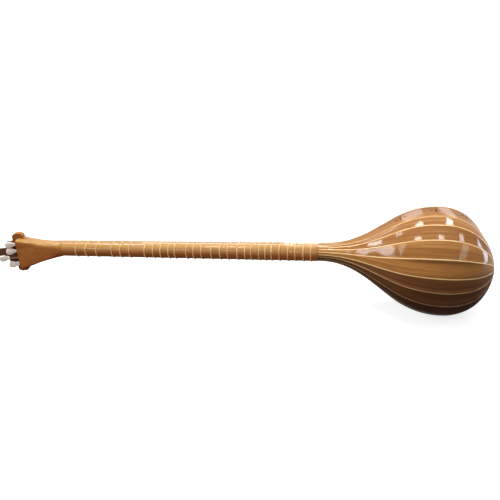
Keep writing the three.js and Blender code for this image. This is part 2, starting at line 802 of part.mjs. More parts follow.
// Strings: each runs taut from the holder over the bridge and the nut to the side of its post
function stringGeometry(i) {
  const radius = stringRadius[i];
  const lift = radius + stringLift;
  const { x, z, side } = posts[i];
  const inner = Math.abs(z) > postCollar ? -side : side;
  const windRise = (postWaistRise + postCollarRise + collarThickness) / 2;
  const windZ = z + inner * (postRadius + lift);
  const place = new THREE.Vector3(x, -windRise, windZ).applyAxisAngle(new THREE.Vector3(0, 0, 1), headTilt);
  const route = [
    [rimAt(stringsAtTail[i]) - holderThickness, -holderRise - lift, stringsAtTail[i]],
    [rimAt(stringsAtTail[i]), -holderRise - lift, stringsAtTail[i]],
    [-scaleLength - bridgeTopWidth / 2, -bridgeHeight - lift, stringsAtBridge[i]],
    [-scaleLength + bridgeTopWidth / 2, -bridgeHeight - lift, stringsAtBridge[i]],
    [-nutWidth / 2, -nutHeight - lift, stringsAtNut[i]],
    [nutWidth / 2, -nutHeight - lift, stringsAtNut[i]],
    place.toArray(),
  ];
  return loft(
    route.map(([px, py, pz]) => circlePoints(py, pz, radius, stringSides).map(([y, z]) => [px, y, z])),
  );
}
["bass", "drone", "middle", "treble"].forEach((name, i) => {
  piece(`string_${name}`, stringGeometry(i), i < 2 ? brass : steel);
});

// The part's origin is the middle of its base
const part = new THREE.Group();
part.add(instrument);
part.updateMatrixWorld(true);
const bounds = new THREE.Box3().setFromObject(part, true);
const middle = bounds.getCenter(new THREE.Vector3());
instrument.position.set(-middle.x, -middle.y, -bounds.min.z);

export default part;
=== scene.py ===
"""A setar that lies on its side: eleven ribs and pale strips, neck, gut frets, head and strings.

Sizes are in millimetres, with x = 0 at the nut and growing towards the head, y = 0 in the plane of
the soundboard's front and growing towards the back, and z up. Layout turns them into the frame.
"""

import logging
import math
from collections.abc import Callable, Sequence
from dataclasses import dataclass, field, replace
from enum import Enum
from typing import NamedTuple

import bmesh
import bpy
import numpy as np
from mathutils import Matrix, Vector
from mathutils.geometry import tessellate_polygon

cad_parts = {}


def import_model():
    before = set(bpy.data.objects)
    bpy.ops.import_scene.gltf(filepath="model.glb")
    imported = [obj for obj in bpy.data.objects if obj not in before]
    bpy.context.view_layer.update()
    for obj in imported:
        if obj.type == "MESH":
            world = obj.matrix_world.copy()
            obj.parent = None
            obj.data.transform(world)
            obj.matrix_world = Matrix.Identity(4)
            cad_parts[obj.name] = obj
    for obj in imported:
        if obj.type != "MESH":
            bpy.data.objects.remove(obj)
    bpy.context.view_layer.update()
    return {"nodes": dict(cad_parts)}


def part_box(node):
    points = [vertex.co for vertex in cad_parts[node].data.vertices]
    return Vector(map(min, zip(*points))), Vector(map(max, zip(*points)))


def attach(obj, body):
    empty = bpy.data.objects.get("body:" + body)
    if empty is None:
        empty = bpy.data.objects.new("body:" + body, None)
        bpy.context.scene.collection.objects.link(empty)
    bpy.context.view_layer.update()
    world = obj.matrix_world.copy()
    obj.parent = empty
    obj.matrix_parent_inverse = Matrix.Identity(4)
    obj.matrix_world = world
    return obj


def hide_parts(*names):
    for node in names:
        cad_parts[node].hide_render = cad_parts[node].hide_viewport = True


MM = 0.001
LOG = logging.getLogger("setar")

Array = np.ndarray
Row = tuple[float, ...]
Profile = list[tuple[float, float]]
Colour = tuple[float, float, float]
Tint = tuple[float, float, float, float]
Change = Callable[[Array], Array]
Piece = bpy.types.Object


def table_at(table: Sequence[float], share: Array) -> Array:
    """Values of a table evenly spaced over 0 to 1, with a cubic between each pair of points.

    Args:
        table: The values.
        share: Where they are read.

    Returns:
        The value at each share.
    """
    values = np.asarray(table, float)
    place = np.asarray(share, float) * (len(values) - 1)
    i = np.clip(np.floor(place).astype(int), 0, len(values) - 2)
    before, a, b = values[np.maximum(i - 1, 0)], values[i], values[i + 1]
    after = values[np.minimum(i + 2, len(values) - 1)]
    t = place - i
    bend = (after - before + 3 * (a - b)) * t + 2 * before - 5 * a + 4 * b - after
    return a + t / 2 * (b - before + t * bend)


def unit(vectors: Array) -> Array:
    """The same vectors, each with a length of 1."""
    return vectors / np.maximum(np.linalg.norm(vectors, axis=-1, keepdims=True), 1e-12)


def mixed(a: Array, b: Array, share: Array) -> Array:
    """The value a share of the way from a to b."""
    return a + (b - a) * share


def smooth_step(share: Array) -> Array:
    """A share clipped to 0..1 and eased at both ends, as 3 t squared less 2 t cubed."""
    t = np.clip(share, 0, 1)
    return t * t * (3 - 2 * t)


def points(*coordinates: Array | float) -> Array:
    """Points from their coordinates, each an array or one number for all of them."""
    return np.stack(np.broadcast_arrays(*coordinates), axis=-1)


def whole_turn(count: int) -> Array:
    """Evenly spaced angles round a circle."""
    return np.linspace(0, 2 * np.pi, count, endpoint=False)


def squared(wave: Array, power: Array | float) -> Array:
    """A cosine or sine raised to a power with its sign kept: below 1 the circle nears a square."""
    return np.sign(wave) * np.abs(wave) ** power


@dataclass(frozen=True)
class Layout:
    """Sizes and tints that the sub-assemblies share, and where the nut stands in the frame.

    A tint multiplies red, green and blue, and its last number is the share of varnish.
    The low tints are painted shade on lower sides, the high tints painted light on upper sides.

    Args:
        origin: The nut's middle on the soundboard's plane, in the frame's millimetres.
    """

    origin: tuple[float, float, float]
    scale_length: float = 660.0
    neck_share: float = 0.7015
    head_tilt: float = math.radians(16.3)
    nut_width: float = 4.4
    nut_height: float = 1.6
    seat: float = 0.05
    string_radii: Row = (0.3, 0.25, 0.2, 0.2)
    string_lift: float = 0.12
    # Painted shade on the neck's and head's lower side, and painted light on their upper side
    low_tint: Tint = (0.8, 0.48, 0.28, 0.15)
    high_tint: Tint = (0.92, 1.1, 1.3, 1.0)
    # Painted shade on the ears, darker on their lower side and less dark on their upper side
    ear_low_tint: Tint = (0.5, 0.31, 0.18, 0.1)
    ear_high_tint: Tint = (0.8, 0.8, 0.74, 0.7)

    @classmethod
    def from_frame(cls) -> "Layout":
        """Finds the nut and the soundboard's front in the loaded frame.

        Returns:
            The layout.
        """
        nut_low, nut_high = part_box("nut")
        board_low, board_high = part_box("soundboard")
        place = ((nut_low.x + nut_high.x) / 2, board_low.y, (board_low.z + board_high.z) / 2)
        return cls(tuple(value / MM for value in place))

    @property
    def neck_length(self) -> float:
        """From the nut to the joint with the bowl."""
        return self.scale_length * self.neck_share

    def in_frame(self, places: Array) -> Array:
        """Places of the instrument in metres of the frame."""
        return (places + np.array(self.origin)) * MM

    def from_head(self, places: Array) -> Array:
        """Places of the head, turned back about the nut: x and y turn by the tilt, z stays.

        Args:
            places: Points of the head as if it stood straight.

        Returns:
            The same points, leaning back.
        """
        cos, sin = math.cos(self.head_tilt), math.sin(self.head_tilt)
        x, y, z = places[..., 0], places[..., 1], places[..., 2]
        return points(x * cos - y * sin, x * sin + y * cos, z)


@dataclass
class Shell:
    """Closed surfaces: points in millimetres, and faces as tuples of their numbers."""

    points: Array
    faces: list[tuple[int, ...]]

    @classmethod
    def from_rings(cls, rings: Array, closed: bool = False) -> "Shell":
        """Joins rings one to the next, each a loop of as many points.

        Args:
            rings: Points by ring and place in the ring.
            closed: Whether the last ring joins the first, where flat faces would end the row.

        Returns:
            The closed surface.
        """
        count, size = rings.shape[:2]
        spans = count if closed else count - 1
        ring, i = np.meshgrid(np.arange(spans), np.arange(size), indexing="ij")
        after, near = (ring + 1) % count, (i + 1) % size
        quads = points(ring * size + i, ring * size + near, after * size + near, after * size + i)
        faces = [tuple(face) for face in quads.reshape(-1, 4).tolist()]
        if not closed:
            faces += [tuple(range(size)), tuple(range((count - 1) * size, count * size))]
        return cls(rings.reshape(-1, 3), faces)

    @classmethod
    def joined(cls, shells: Sequence["Shell"]) -> "Shell":
        """Several shells as one.

        Args:
            shells: The parts.

        Returns:
            All of them in one.
        """
        faces, start = [], 0
        for shell in shells:
            faces += [tuple(i + start for i in face) for face in shell.faces]
            start += len(shell.points)
        return cls(np.concatenate([shell.points for shell in shells]), faces)

    @classmethod
    def slab(cls, outline: Array, holes: Sequence[Array], near: Change, far: Change) -> "Shell":
        """A flat outline with holes, given a front and a back face and walls between them.

        Args:
            outline: The outline's points on a plane.
            holes: The outlines of its holes.
            near: Gives the front face's places of points on the plane.
            far: Gives the back face's places.

        Returns:
            The closed surface.
        """
        loops = [outline, *holes]
        flat = np.concatenate(loops)
        count = len(flat)
        tris = tessellate_polygon([[Vector((*p, 0)) for p in loop.tolist()] for loop in loops])
        faces = [tuple(tri) for tri in tris]
        faces += [tuple(i + count for i in reversed(tri)) for tri in tris]
        start = 0
        for loop in loops:
            i = start + np.arange(len(loop))
            j = start + (np.arange(len(loop)) + 1) % len(loop)
            faces += [tuple(face) for face in points(i, j, j + count, i + count).tolist()]
            start += len(loop)
        return cls(np.concatenate([near(flat), far(flat)]), faces)

    @classmethod
    def plate(cls, outline: Array, holes: Sequence[Array], front: float, back: float) -> "Shell":
        """A slab of x and z outlines between two depths."""
        return cls.slab(outline, holes, lambda p: points(p[:, 0], front, p[:, 1]),
                        lambda p: points(p[:, 0], back, p[:, 1]))

    def moved(self, change: Change) -> "Shell":
        """The same shell with its points changed."""
        return Shell(change(self.points), self.faces)


def circle(radius: float, sides: int, centre: tuple[float, float] = (0, 0)) -> Array:
    """Points round a circle: cosine and sine of evenly spaced turns."""
    turn = whole_turn(sides)
    return points(centre[0] + radius * np.cos(turn), centre[1] + radius * np.sin(turn))


def turned(profile: Profile, sides: int = 32) -> Shell:
    """A profile of (distance along, radius) turned about the first axis, from end to end.

    Args:
        profile: Pairs of distance and radius.
        sides: Points round the axis.

    Returns:
        The closed surface.
    """
    along, radius = np.asarray(profile, float).T[..., None]
    turn = whole_turn(sides)
    return Shell.from_rings(points(along, radius * np.cos(turn), radius * np.sin(turn)))


def standing(profile: Profile, x: float, z: float, sides: int = 32) -> Shell:
    """A profile of (depth, radius) turned about a line through the soundboard at x and z."""
    return turned(profile, sides).moved(lambda p: p[:, [1, 0, 2]] + [x, 0, z])


def wire(path: Array, side: Array, radius: float, sides: int = 8, closed: bool = False) -> Shell:
    """A round wire along a path: at each point, a circle across the path's direction.

    Args:
        path: Points that the wire follows.
        side: A direction across the path at each point, or one for all of them.
        radius: Half of the wire's thickness.
        sides: Points round the wire.
        closed: Whether the path's end joins its start.

    Returns:
        The closed surface.
    """
    if closed:
        ahead = np.roll(path, -1, axis=0) - np.roll(path, 1, axis=0)
    else:
        ahead = np.gradient(path, axis=0)
    third = unit(np.cross(unit(ahead), np.broadcast_to(side, path.shape)))
    second = np.cross(third, unit(ahead))
    turn = whole_turn(sides)[None, :, None]
    circles = np.cos(turn) * second[:, None] + np.sin(turn) * third[:, None]
    return Shell.from_rings(path[:, None] + radius * circles, closed=closed)


class Coordinates(Enum):
    """What a wood's figure follows."""

    OBJECT = "object"
    GRAIN = "grain"


def linear(colour: Colour) -> tuple[float, float, float, float]:
    """The light that a screen colour stands for, by the usual curve with its straight foot.

    Args:
        colour: Red, green and blue from 0 to 255.

    Returns:
        Red, green, blue and alpha from 0 to 1.
    """
    part = np.asarray(colour, float) / 255
    light = np.where(part <= 0.04045, part / 12.92, ((part + 0.055) / 1.055) ** 2.4)
    return (*light.tolist(), 1.0)


class Socket:
    """A number or colour inside a material, with arithmetic that adds Math nodes."""

    def __init__(self, graph: "Graph", socket: bpy.types.NodeSocket) -> None:
        """Wraps one output socket of a graph's node."""
        self.graph = graph
        self.socket = socket

    def maths(self, operation: str, first: "Socket | float", second: "Socket | float") -> "Socket":
        """Adds one Math node."""
        return self.graph.node("ShaderNodeMath", {"operation": operation}, {0: first, 1: second})

    def __add__(self, other: "Socket | float") -> "Socket":
        """This value plus another."""
        return self.maths("ADD", self, other)

    __radd__ = __add__

    def __sub__(self, other: "Socket | float") -> "Socket":
        """This value less another."""
        return self.maths("SUBTRACT", self, other)

    def __rsub__(self, other: float) -> "Socket":
        """A number less this value."""
        return self.maths("SUBTRACT", other, self)

    def __mul__(self, other: "Socket | float") -> "Socket":
        """This value times another."""
        return self.maths("MULTIPLY", self, other)

    __rmul__ = __mul__

    def clipped(self) -> "Socket":
        """This value kept between 0 and 1."""
        return self.maths("MINIMUM", self.maths("MAXIMUM", self, 0.0), 1.0)


class Graph:
    """A material or the world under construction."""

    def __init__(self, name: str, holder: bpy.types.World | None = None) -> None:
        """Starts an empty material of that name, or empties the world that is given.

        Args:
            name: The material's name.
            holder: The world, where it is one.
        """
        self.material = holder or bpy.data.materials.new(name)
        self.material.use_nodes = True
        self.tree = self.material.node_tree
        self.tree.nodes.clear()

    def node(self, kind: str, settings: dict | None = None, sockets: dict | None = None,
             output: int | str = 0) -> Socket:
        """Adds one node.

        Args:
            kind: The node's type.
            settings: Its properties, with a ramp's stops as "stops".
            sockets: The values or links of its input sockets.
            output: Which output to give back.

        Returns:
            That output.
        """
        made = self.tree.nodes.new(kind)
        for key, value in (settings or {}).items():
            if key == "stops":
                elements = made.color_ramp.elements
                while len(elements) < len(value):
                    elements.new(0.5)
                for element, (place, colour) in zip(elements, value):
                    element.position, element.color = place, colour
            else:
                setattr(made, key, value)
        for key, value in (sockets or {}).items():
            if isinstance(value, Socket):
                self.tree.links.new(value.socket, made.inputs[key])
            else:
                made.inputs[key].default_value = value
        return Socket(self, made.outputs[output])

    def place(self) -> Socket:
        """Where a point is on its object, in metres."""
        return self.node("ShaderNodeTexCoord", output="Object")

    def written(self, name: str, output: str) -> Socket:
        """An attribute that is written on the mesh."""
        return self.node("ShaderNodeAttribute", {"attribute_name": name}, output=output)

    def blended(self, share: Socket | float, a: Socket | tuple, b: Socket | tuple,
                how: str = "MIX") -> Socket:
        """Mixes two colours."""
        settings = {"data_type": "RGBA", "blend_type": how}
        return self.node("ShaderNodeMix", settings, {0: share, 6: a, 7: b}, 2)

    def noise(self, place: Socket, scale: Sequence[float], detail: float, roughness: float = 0.5,
              distortion: float = 0.0, offset: Sequence[float] = (0, 0, 0)) -> Socket:
        """Clouds around a half.

        Args:
            place: Where they are read.
            scale: Bumps to a metre along each axis.
            detail: How many finer layers they have.
            roughness: How strong the finer layers are.
            distortion: How far they swirl.
            offset: Moves them, so that two clouds differ.

        Returns:
            Their value.
        """
        spread = self.node("ShaderNodeMapping", {},
                           {"Vector": place, "Scale": scale, "Location": offset})
        return self.node("ShaderNodeTexNoise", {},
                         {"Vector": spread, "Scale": 1.0, "Detail": detail,
                          "Roughness": roughness, "Distortion": distortion})

    def relief(self, height: Socket, strength: float, distance: float) -> Socket:
        """A normal that leans with a height, whose full range is a distance in millimetres."""
        return self.node("ShaderNodeBump", {}, {"Strength": strength, "Distance": distance * MM,
                                                "Height": height}, "Normal")

    def surface(self, sockets: dict) -> bpy.types.Material:
        """Ends the material with one physical surface of these sockets."""
        self.finish_with(self.node("ShaderNodeBsdfPrincipled", {}, sockets))
        return self.material

    def seen(self) -> Socket:
        """One where the camera, a mirror or glass looks, and nothing where light only strays.

        Returns:
            The mask.
        """
        camera, mirror, glass = (self.node("ShaderNodeLightPath", output=f"Is {kind} Ray")
                                 for kind in ("Camera", "Glossy", "Transmission"))
        return (camera + mirror + glass).clipped()

    def finish_with(self, shader: Socket, kind: str = "ShaderNodeOutputMaterial") -> None:
        """Links a shader to the output."""
        output = self.tree.nodes.new(kind)
        self.tree.links.new(shader.socket, output.inputs["Surface"])


@dataclass(frozen=True)
class Wood:
    """A varnished or bare wood with long fibres, slow figure, bands and fine pores.

    Args:
        name: The material's name.
        deep: The darkest streaks.
        body: The usual colour.
        bright: The lightest streaks.
        along: Bumps of the fibres to a metre along the grain.
        across: Bumps to a metre across the grain.
        pores: How dark the pores are, from 0 to 1.
        roughness: Of the wood itself.
        varnish: Share of clear coat over it.
        varnish_roughness: Of that coat.
        relief: Height of the fibres in millimetres.
        follows: What the grain follows.
        shaded: Whether painted shade and light, from the "shade" attribute, tint the wood, and its
            alpha thins the varnish.
        varnish_ior: The varnish's refraction, which sets how much it mirrors.
        tones: The places of the three colours in the tone.
        shares: How much fibres, figure and bands add to the tone.
        tone_shift: What is taken off it, so that its middle is a half.
        pore_level: The noise above which a pore opens.
        pore_edge: How sharply it opens.
        rough_shift: What is taken off the roughness before fibres and pores add to it.
        rough_shares: How much they add.
        height_shares: How much fibres rise and pores sink.
        bump: Strength of that relief.
    """

    name: str
    deep: Colour
    body: Colour
    bright: Colour
    along: float = 14.0
    across: float = 420.0
    pores: float = 0.3
    roughness: float = 0.42
    varnish: float = 0.0
    varnish_roughness: float = 0.08
    relief: float = 0.02
    follows: Coordinates = Coordinates.OBJECT
    shaded: bool = False
    varnish_ior: float = 1.45
    tones: Row = (0.3, 0.5, 0.7)
    shares: Row = (0.34, 0.4, 0.55)
    tone_shift: float = 0.145
    pore_level: float = 0.6
    pore_edge: float = 9.0
    rough_shift: float = 0.08
    rough_shares: tuple[float, float] = (0.12, 0.1)
    height_shares: tuple[float, float] = (0.7, 0.6)
    bump: float = 0.35

    def scale(self, along: float, across: float) -> tuple[float, float, float]:
        """Bumps to a metre on each axis, as many times the fibres' along and across."""
        return (self.along * along, self.across * across, self.across * across)

    def material(self) -> bpy.types.Material:
        """Builds the wood: fibres, figure and bands pick one of three colours, pores darken it.

        Returns:
            The material.
        """
        g = Graph(self.name)
        on_grain = self.follows is Coordinates.GRAIN
        place = g.written("grain", "Vector") if on_grain else g.place()
        fibres = g.noise(place, self.scale(1, 1), detail=7.0, roughness=0.62)
        figure = g.noise(place, self.scale(1 / 5, 1 / 9), detail=3.0, distortion=0.8)
        bands = g.noise(place, self.scale(1 / 9, 1 / 3), detail=4.0, roughness=0.7,
                        distortion=0.4, offset=(3, 1, 2))
        pore_noise = g.noise(place, self.scale(8, 5), detail=2.0, offset=(1, 5, 2))
        pores = ((pore_noise - self.pore_level) * self.pore_edge).clipped()
        mix = fibres * self.shares[0] + figure * self.shares[1] + bands * self.shares[2]
        colours = (linear(self.deep), linear(self.body), linear(self.bright))
        colour = g.node("ShaderNodeValToRGB", {"stops": list(zip(self.tones, colours))},
                        {"Fac": (mix - self.tone_shift).clipped()})
        coat = self.varnish
        # The shade attribute multiplies painted shade and painted light into the wood's colour
        if self.shaded:
            colour = g.blended(1.0, colour, g.written("shade", "Color"), "MULTIPLY")
            coat = g.written("shade", "Alpha") * self.varnish
        colour = g.blended(pores * self.pores, colour, linear(self.deep))
        rough = fibres * self.rough_shares[0] + pores * self.rough_shares[1]
        height = fibres * self.height_shares[0] - pores * self.height_shares[1]
        return g.surface({"Base Color": colour,
                          "Roughness": rough + (self.roughness - self.rough_shift),
                          "Normal": g.relief(height, self.bump, self.relief),
                          "Specular IOR Level": 0.0, "Coat Weight": coat,
                          "Coat Roughness": self.varnish_roughness, "Coat IOR": self.varnish_ior})


@dataclass(frozen=True)
class Metal:
    """Drawn or turned metal with fine marks.

    Args:
        name: The material's name.
        colour: Its colour.
        tarnish: Its colour where it has dulled.
        roughness: Of the polished parts.
        clouds: Patches of tarnish to a metre.
        marks: Turning marks to a metre along each axis.
        dull_level: The noise above which it is tarnished.
        dull_edge: How sharply the tarnish starts.
        dull_share: How much of the tarnish's colour shows.
        rough_shares: How much tarnish and marks add to the roughness.
        relief: Height of the marks in millimetres.
        bump: Strength of that relief.
    """

    name: str
    colour: Colour
    tarnish: Colour
    roughness: float
    clouds: Colour = (260, 260, 260)
    marks: Colour = (900, 5200, 5200)
    dull_level: float = 0.45
    dull_edge: float = 3.0
    dull_share: float = 0.6
    rough_shares: tuple[float, float] = (0.14, 0.08)
    relief: float = 0.01
    bump: float = 0.2

    def material(self) -> bpy.types.Material:
        """Builds the metal: slow clouds of tarnish and fine turning marks.

        Returns:
            The material.
        """
        g = Graph(self.name)
        place = g.place()
        clouds = g.noise(place, self.clouds, detail=4.0, roughness=0.6)
        dull = ((clouds - self.dull_level) * self.dull_edge).clipped()
        marks = g.noise(place, self.marks, detail=2.0)
        colour = g.blended(dull * self.dull_share, linear(self.colour), linear(self.tarnish))
        rough = self.roughness + dull * self.rough_shares[0] + marks * self.rough_shares[1]
        return g.surface({"Base Color": colour, "Metallic": 1.0, "Roughness": rough,
                          "Normal": g.relief(marks, self.bump, self.relief)})


@dataclass(frozen=True)
class Smooth:
    """Bone, pearly celluloid or gut: a smooth pale stuff with soft clouds.

    Args:
        name: The material's name.
        colour: Its usual colour.
        cloud: The colour of its clouds.
        clouds: Clouds to a metre.
        roughness: Of its surface.
        depth: How far light goes into it, in millimetres.
        coat: Share of gloss over it.
        depth_shares: How much of that depth red, green and blue light reach.
        deep_share: How much of the light goes in at all.
        shares: How much large and fine clouds mix the two colours.
        cloud_shift: What is taken off that mix.
        rough_share: How much the fine clouds add to the roughness.
        relief: Height of the fine clouds in millimetres.
        bump: Strength of that relief.
    """

    name: str
    colour: Colour
    cloud: Colour
    clouds: tuple[float, float, float]
    roughness: float
    depth: float = 0.0
    coat: float = 0.0
    depth_shares: Row = (1.0, 0.7, 0.45)
    deep_share: float = 0.25
    shares: tuple[float, float] = (1.5, 0.5)
    cloud_shift: float = 0.5
    rough_share: float = 0.12
    relief: float = 0.02
    bump: float = 0.15

    def material(self) -> bpy.types.Material:
        """Builds the stuff: two scales of clouds mix two colours and change the gloss a little.

        Returns:
            The material.
        """
        g = Graph(self.name)
        place = g.place()
        large = g.noise(place, self.clouds, detail=3.0, roughness=0.55, distortion=1.2)
        fine = g.noise(place, tuple(4 * c for c in self.clouds), detail=4.0, roughness=0.6)
        mix = large * self.shares[0] + fine * self.shares[1] - self.cloud_shift
        colour = g.blended(mix.clipped(), linear(self.colour), linear(self.cloud))
        radius = tuple(self.depth * MM * share for share in self.depth_shares)
        return g.surface({"Base Color": colour,
                          "Roughness": self.roughness + fine * self.rough_share,
                          "Normal": g.relief(fine, self.bump, self.relief),
                          "Coat Weight": self.coat, "Subsurface Radius": radius,
                          "Subsurface Weight": self.deep_share if self.depth else 0.0})


class Finish(Enum):
    """The instrument's finishes."""

    RIB_WOOD = "rib_wood"
    STRIP_WOOD = "strip_wood"
    NECK_WOOD = "neck_wood"
    BOARD_WOOD = "board_wood"
    HEAD_WOOD = "head_wood"
    DARK_WOOD = "dark_wood"
    BLOCK_WOOD = "block_wood"
    BRIDGE_WOOD = "bridge_wood"
    BONE = "bone"
    BUTTON_WHITE = "button_white"
    GUT = "gut"
    BRASS = "brass"
    # A dark metal whose darkness is painted shade on the spindles
    BRONZE = "bronze"
    STEEL = "steel"


RECIPES: dict[Finish, Wood | Metal | Smooth] = {
    Finish.RIB_WOOD: Wood(
        "rib_wood", (80, 42, 17), (158, 102, 48), (206, 152, 86), along=7, across=210, pores=0.5,
        roughness=0.36, varnish=0.42, relief=0.008, follows=Coordinates.GRAIN, shaded=True),
    Finish.STRIP_WOOD: Wood(
        "strip_wood", (226, 180, 116), (246, 208, 146), (252, 224, 172), pores=0.1,
        roughness=0.35, varnish=0.3, shaded=True),
    Finish.NECK_WOOD: Wood(
        "neck_wood", (166, 104, 46), (202, 138, 66), (220, 160, 88), along=7, across=300,
        pores=0.25, roughness=0.36, varnish=0.8, varnish_roughness=0.04, shaded=True),
    Finish.BOARD_WOOD: Wood(
        "board_wood", (176, 132, 80), (206, 166, 110), (222, 186, 132), along=5, across=700,
        pores=0.25, roughness=0.5, varnish=0.15, varnish_roughness=0.25),
    Finish.HEAD_WOOD: Wood(
        "head_wood", (168, 102, 44), (202, 136, 64), (220, 160, 88), along=7, across=300,
        pores=0.2, roughness=0.38, varnish=0.6, shaded=True),
    Finish.DARK_WOOD: Wood(
        "dark_wood", (56, 28, 14), (98, 54, 30), (128, 76, 44), along=12, across=300, pores=0.4,
        roughness=0.4, varnish=0.25, varnish_roughness=0.15),
    Finish.BLOCK_WOOD: Wood(
        "block_wood", (168, 128, 84), (200, 164, 116), (216, 184, 140), roughness=0.7),
    Finish.BRIDGE_WOOD: Wood(
        "bridge_wood", (96, 58, 28), (132, 88, 46), (156, 108, 62), across=600, pores=0.4,
        roughness=0.45, varnish=0.3, varnish_roughness=0.2),
    Finish.BONE: Smooth("bone", (232, 222, 198), (214, 198, 166), (60, 300, 300), 0.28, 0.6, 0.4),
    Finish.BUTTON_WHITE: Smooth(
        "button_white", (250, 237, 222), (232, 217, 201), (160, 220, 160), 0.22, 0.8, 0.6),
    Finish.GUT: Smooth("gut", (255, 222, 152), (238, 192, 118), (500, 260, 260), 0.45, coat=0.1),
    Finish.BRASS: Metal("brass", (214, 176, 98), (150, 108, 52), 0.2),
    # Dark brown: painted shade on the spindles
    Finish.BRONZE: Metal("bronze", (104, 72, 44), (60, 42, 26), 0.3),
    Finish.STEEL: Metal("steel", (206, 208, 212), (150, 150, 154), 0.18),
}

STRING_FINISHES = (Finish.BRASS, Finish.BRASS, Finish.STEEL, Finish.STEEL)


class Rounding(NamedTuple):
    """How sharp edges are rounded: a width in millimetres, steps and the least angle."""

    width: float
    segments: int = 3
    degrees: float = 60


@dataclass
class Workshop:
    """Makes pieces of the frame from shells: mesh, finish, body and replaced nodes.

    Args:
        layout: The sizes and place that all pieces share.
        tilted: Whether the pieces lean back with the head.
        materials: The materials made so far.
        tint_from: How far down a normal may point before it takes all of the painted shade.
        tint_span: The range of normals' heights over which the painted light takes over.
        crease: Edges sharper than this many degrees stay sharp in the shading.
    """

    layout: Layout
    tilted: bool = False
    materials: dict[Finish, bpy.types.Material] = field(default_factory=dict)
    tint_from: float = 0.35
    tint_span: float = 1.2
    crease: float = 32.0

    def finish(self, finish: Finish) -> bpy.types.Material:
        """The material of a finish, made when it is first used.

        Args:
            finish: Which finish.

        Returns:
            The material.
        """
        if finish not in self.materials:
            self.materials[finish] = RECIPES[finish].material()
        return self.materials[finish]

    def mesh_object(self, name: str, shell: Shell) -> Piece:
        """A mesh object at the origin, with its points in the frame and its faces outwards.

        Args:
            name: Its name.
            shell: Its surface in the instrument's millimetres.

        Returns:
            The object.
        """
        places = self.layout.from_head(shell.points) if self.tilted else shell.points
        mesh = bpy.data.meshes.new(name)
        mesh.from_pydata(self.layout.in_frame(places).tolist(), [], shell.faces)
        work = bmesh.new()
        work.from_mesh(mesh)
        bmesh.ops.recalc_face_normals(work, faces=work.faces)
        work.to_mesh(mesh)
        work.free()
        made = bpy.data.objects.new(name, mesh)
        bpy.context.scene.collection.objects.link(made)
        return made

    def carve(self, piece: Piece, cutter: Shell) -> None:
        """Takes the room of a shell out of a piece.

        Args:
            piece: What is cut.
            cutter: The room that is taken out.
        """
        tool = self.mesh_object(piece.name + "_cutter", cutter)
        cut = piece.modifiers.new("cut", "BOOLEAN")
        cut.operation, cut.solver, cut.object = "DIFFERENCE", "EXACT", tool
        cut.use_self = True
        self.settle(piece)
        bpy.data.objects.remove(tool)

    def settle(self, piece: Piece) -> None:
        """Applies a piece's modifiers to its mesh.

        Args:
            piece: The mesh object.
        """
        graph = bpy.context.evaluated_depsgraph_get()
        settled = bpy.data.meshes.new_from_object(piece.evaluated_get(graph))
        piece.modifiers.clear()
        piece.data = settled

    def soften(self, piece: Piece, rounding: Rounding) -> None:
        """Rounds a piece's sharp edges.

        Args:
            piece: The mesh object.
            rounding: How they are rounded.
        """
        bevel = piece.modifiers.new("bevel", "BEVEL")
        bevel.width, bevel.segments = rounding.width * MM, rounding.segments
        bevel.limit_method, bevel.angle_limit = "ANGLE", math.radians(rounding.degrees)
        self.settle(piece)

    def shade(self, piece: Piece, shade: Array) -> None:
        """Writes a piece's tint and share of varnish, one row for all points or for each.

        Args:
            piece: The mesh object.
            shade: Red, green and blue of the painted shade or light, and the varnish.
        """
        mesh = piece.data
        # Painted shade and painted light, with the varnish's share in the alpha
        colour = mesh.attributes.new("shade", "FLOAT_COLOR", "POINT")
        rows = np.broadcast_to(np.asarray(shade, np.float32), (len(mesh.vertices), 4))
        colour.data.foreach_set("color", np.ascontiguousarray(rows).ravel())

    def side_shades(self, piece: Piece, low: Tint, high: Tint) -> Array:
        """Tints from a piece's lower to its upper side, by the eased height of its normals.

        Args:
            piece: The mesh object.
            low: The lower side's tint, a painted shade.
            high: The upper side's, a painted light.

        Returns:
            A tint for each point, from painted shade below to painted light above.
        """
        # Painted shade where normals point down, painted light where they point up
        normals = np.empty(len(piece.data.vertices) * 3, np.float32)
        piece.data.vertex_normals.foreach_get("vector", normals)
        share = smooth_step((normals[2::3] + self.tint_from) / self.tint_span)[:, None]
        return mixed(np.array(low), np.array(high), share)

    def dress(self, piece: Piece, finish: Finish, body: str, nodes: Sequence[str]) -> None:
        """Gives a piece its finish, ties it to a body and hides the solids that it stands for.

        Args:
            piece: The mesh object.
            finish: Its finish.
            body: The body that it rides on.
            nodes: The solids that it stands for.
        """
        piece.data.materials.clear()
        piece.data.materials.append(self.finish(finish))
        piece.data.polygons.foreach_set("use_smooth", np.ones(len(piece.data.polygons), bool))
        piece.data.set_sharp_from_angle(angle=math.radians(self.crease))
        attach(piece, body)
        if nodes:
            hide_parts(*nodes)
        LOG.info("%s on %s: %d faces, %s", piece.name, body, len(piece.data.polygons), finish.value)

    def make(self, name: str, shell: Shell, finish: Finish, body: str = "frame",
             nodes: Sequence[str] = (), rounding: Rounding | None = None,
             cuts: Sequence[Shell] = (), shade: Array | None = None,
             sides: tuple[Tint, Tint] | None = None) -> Piece:
        """Builds a piece and dresses it.

        Args:
            name: The piece's name.
            shell: Its surface.
            finish: Its finish.
            body: The body that it rides on.
            nodes: The solids that it stands for.
            rounding: How its sharp edges are rounded.
            cuts: Shells whose room is then taken out of it, one after the other.
            shade: Its tint of painted shade or light, and its share of varnish.
            sides: The painted shade of its lower side and the painted light of its upper side,
                where they differ.

        Returns:
            The mesh object.
        """
        piece = self.mesh_object(name, shell)
        if rounding:
            self.soften(piece, rounding)
        for cut in cuts:
            self.carve(piece, cut)
        if sides:
            shade = self.side_shades(piece, *sides)
        if shade is not None:
            self.shade(piece, shade)
        self.dress(piece, finish, body, nodes)
        return piece


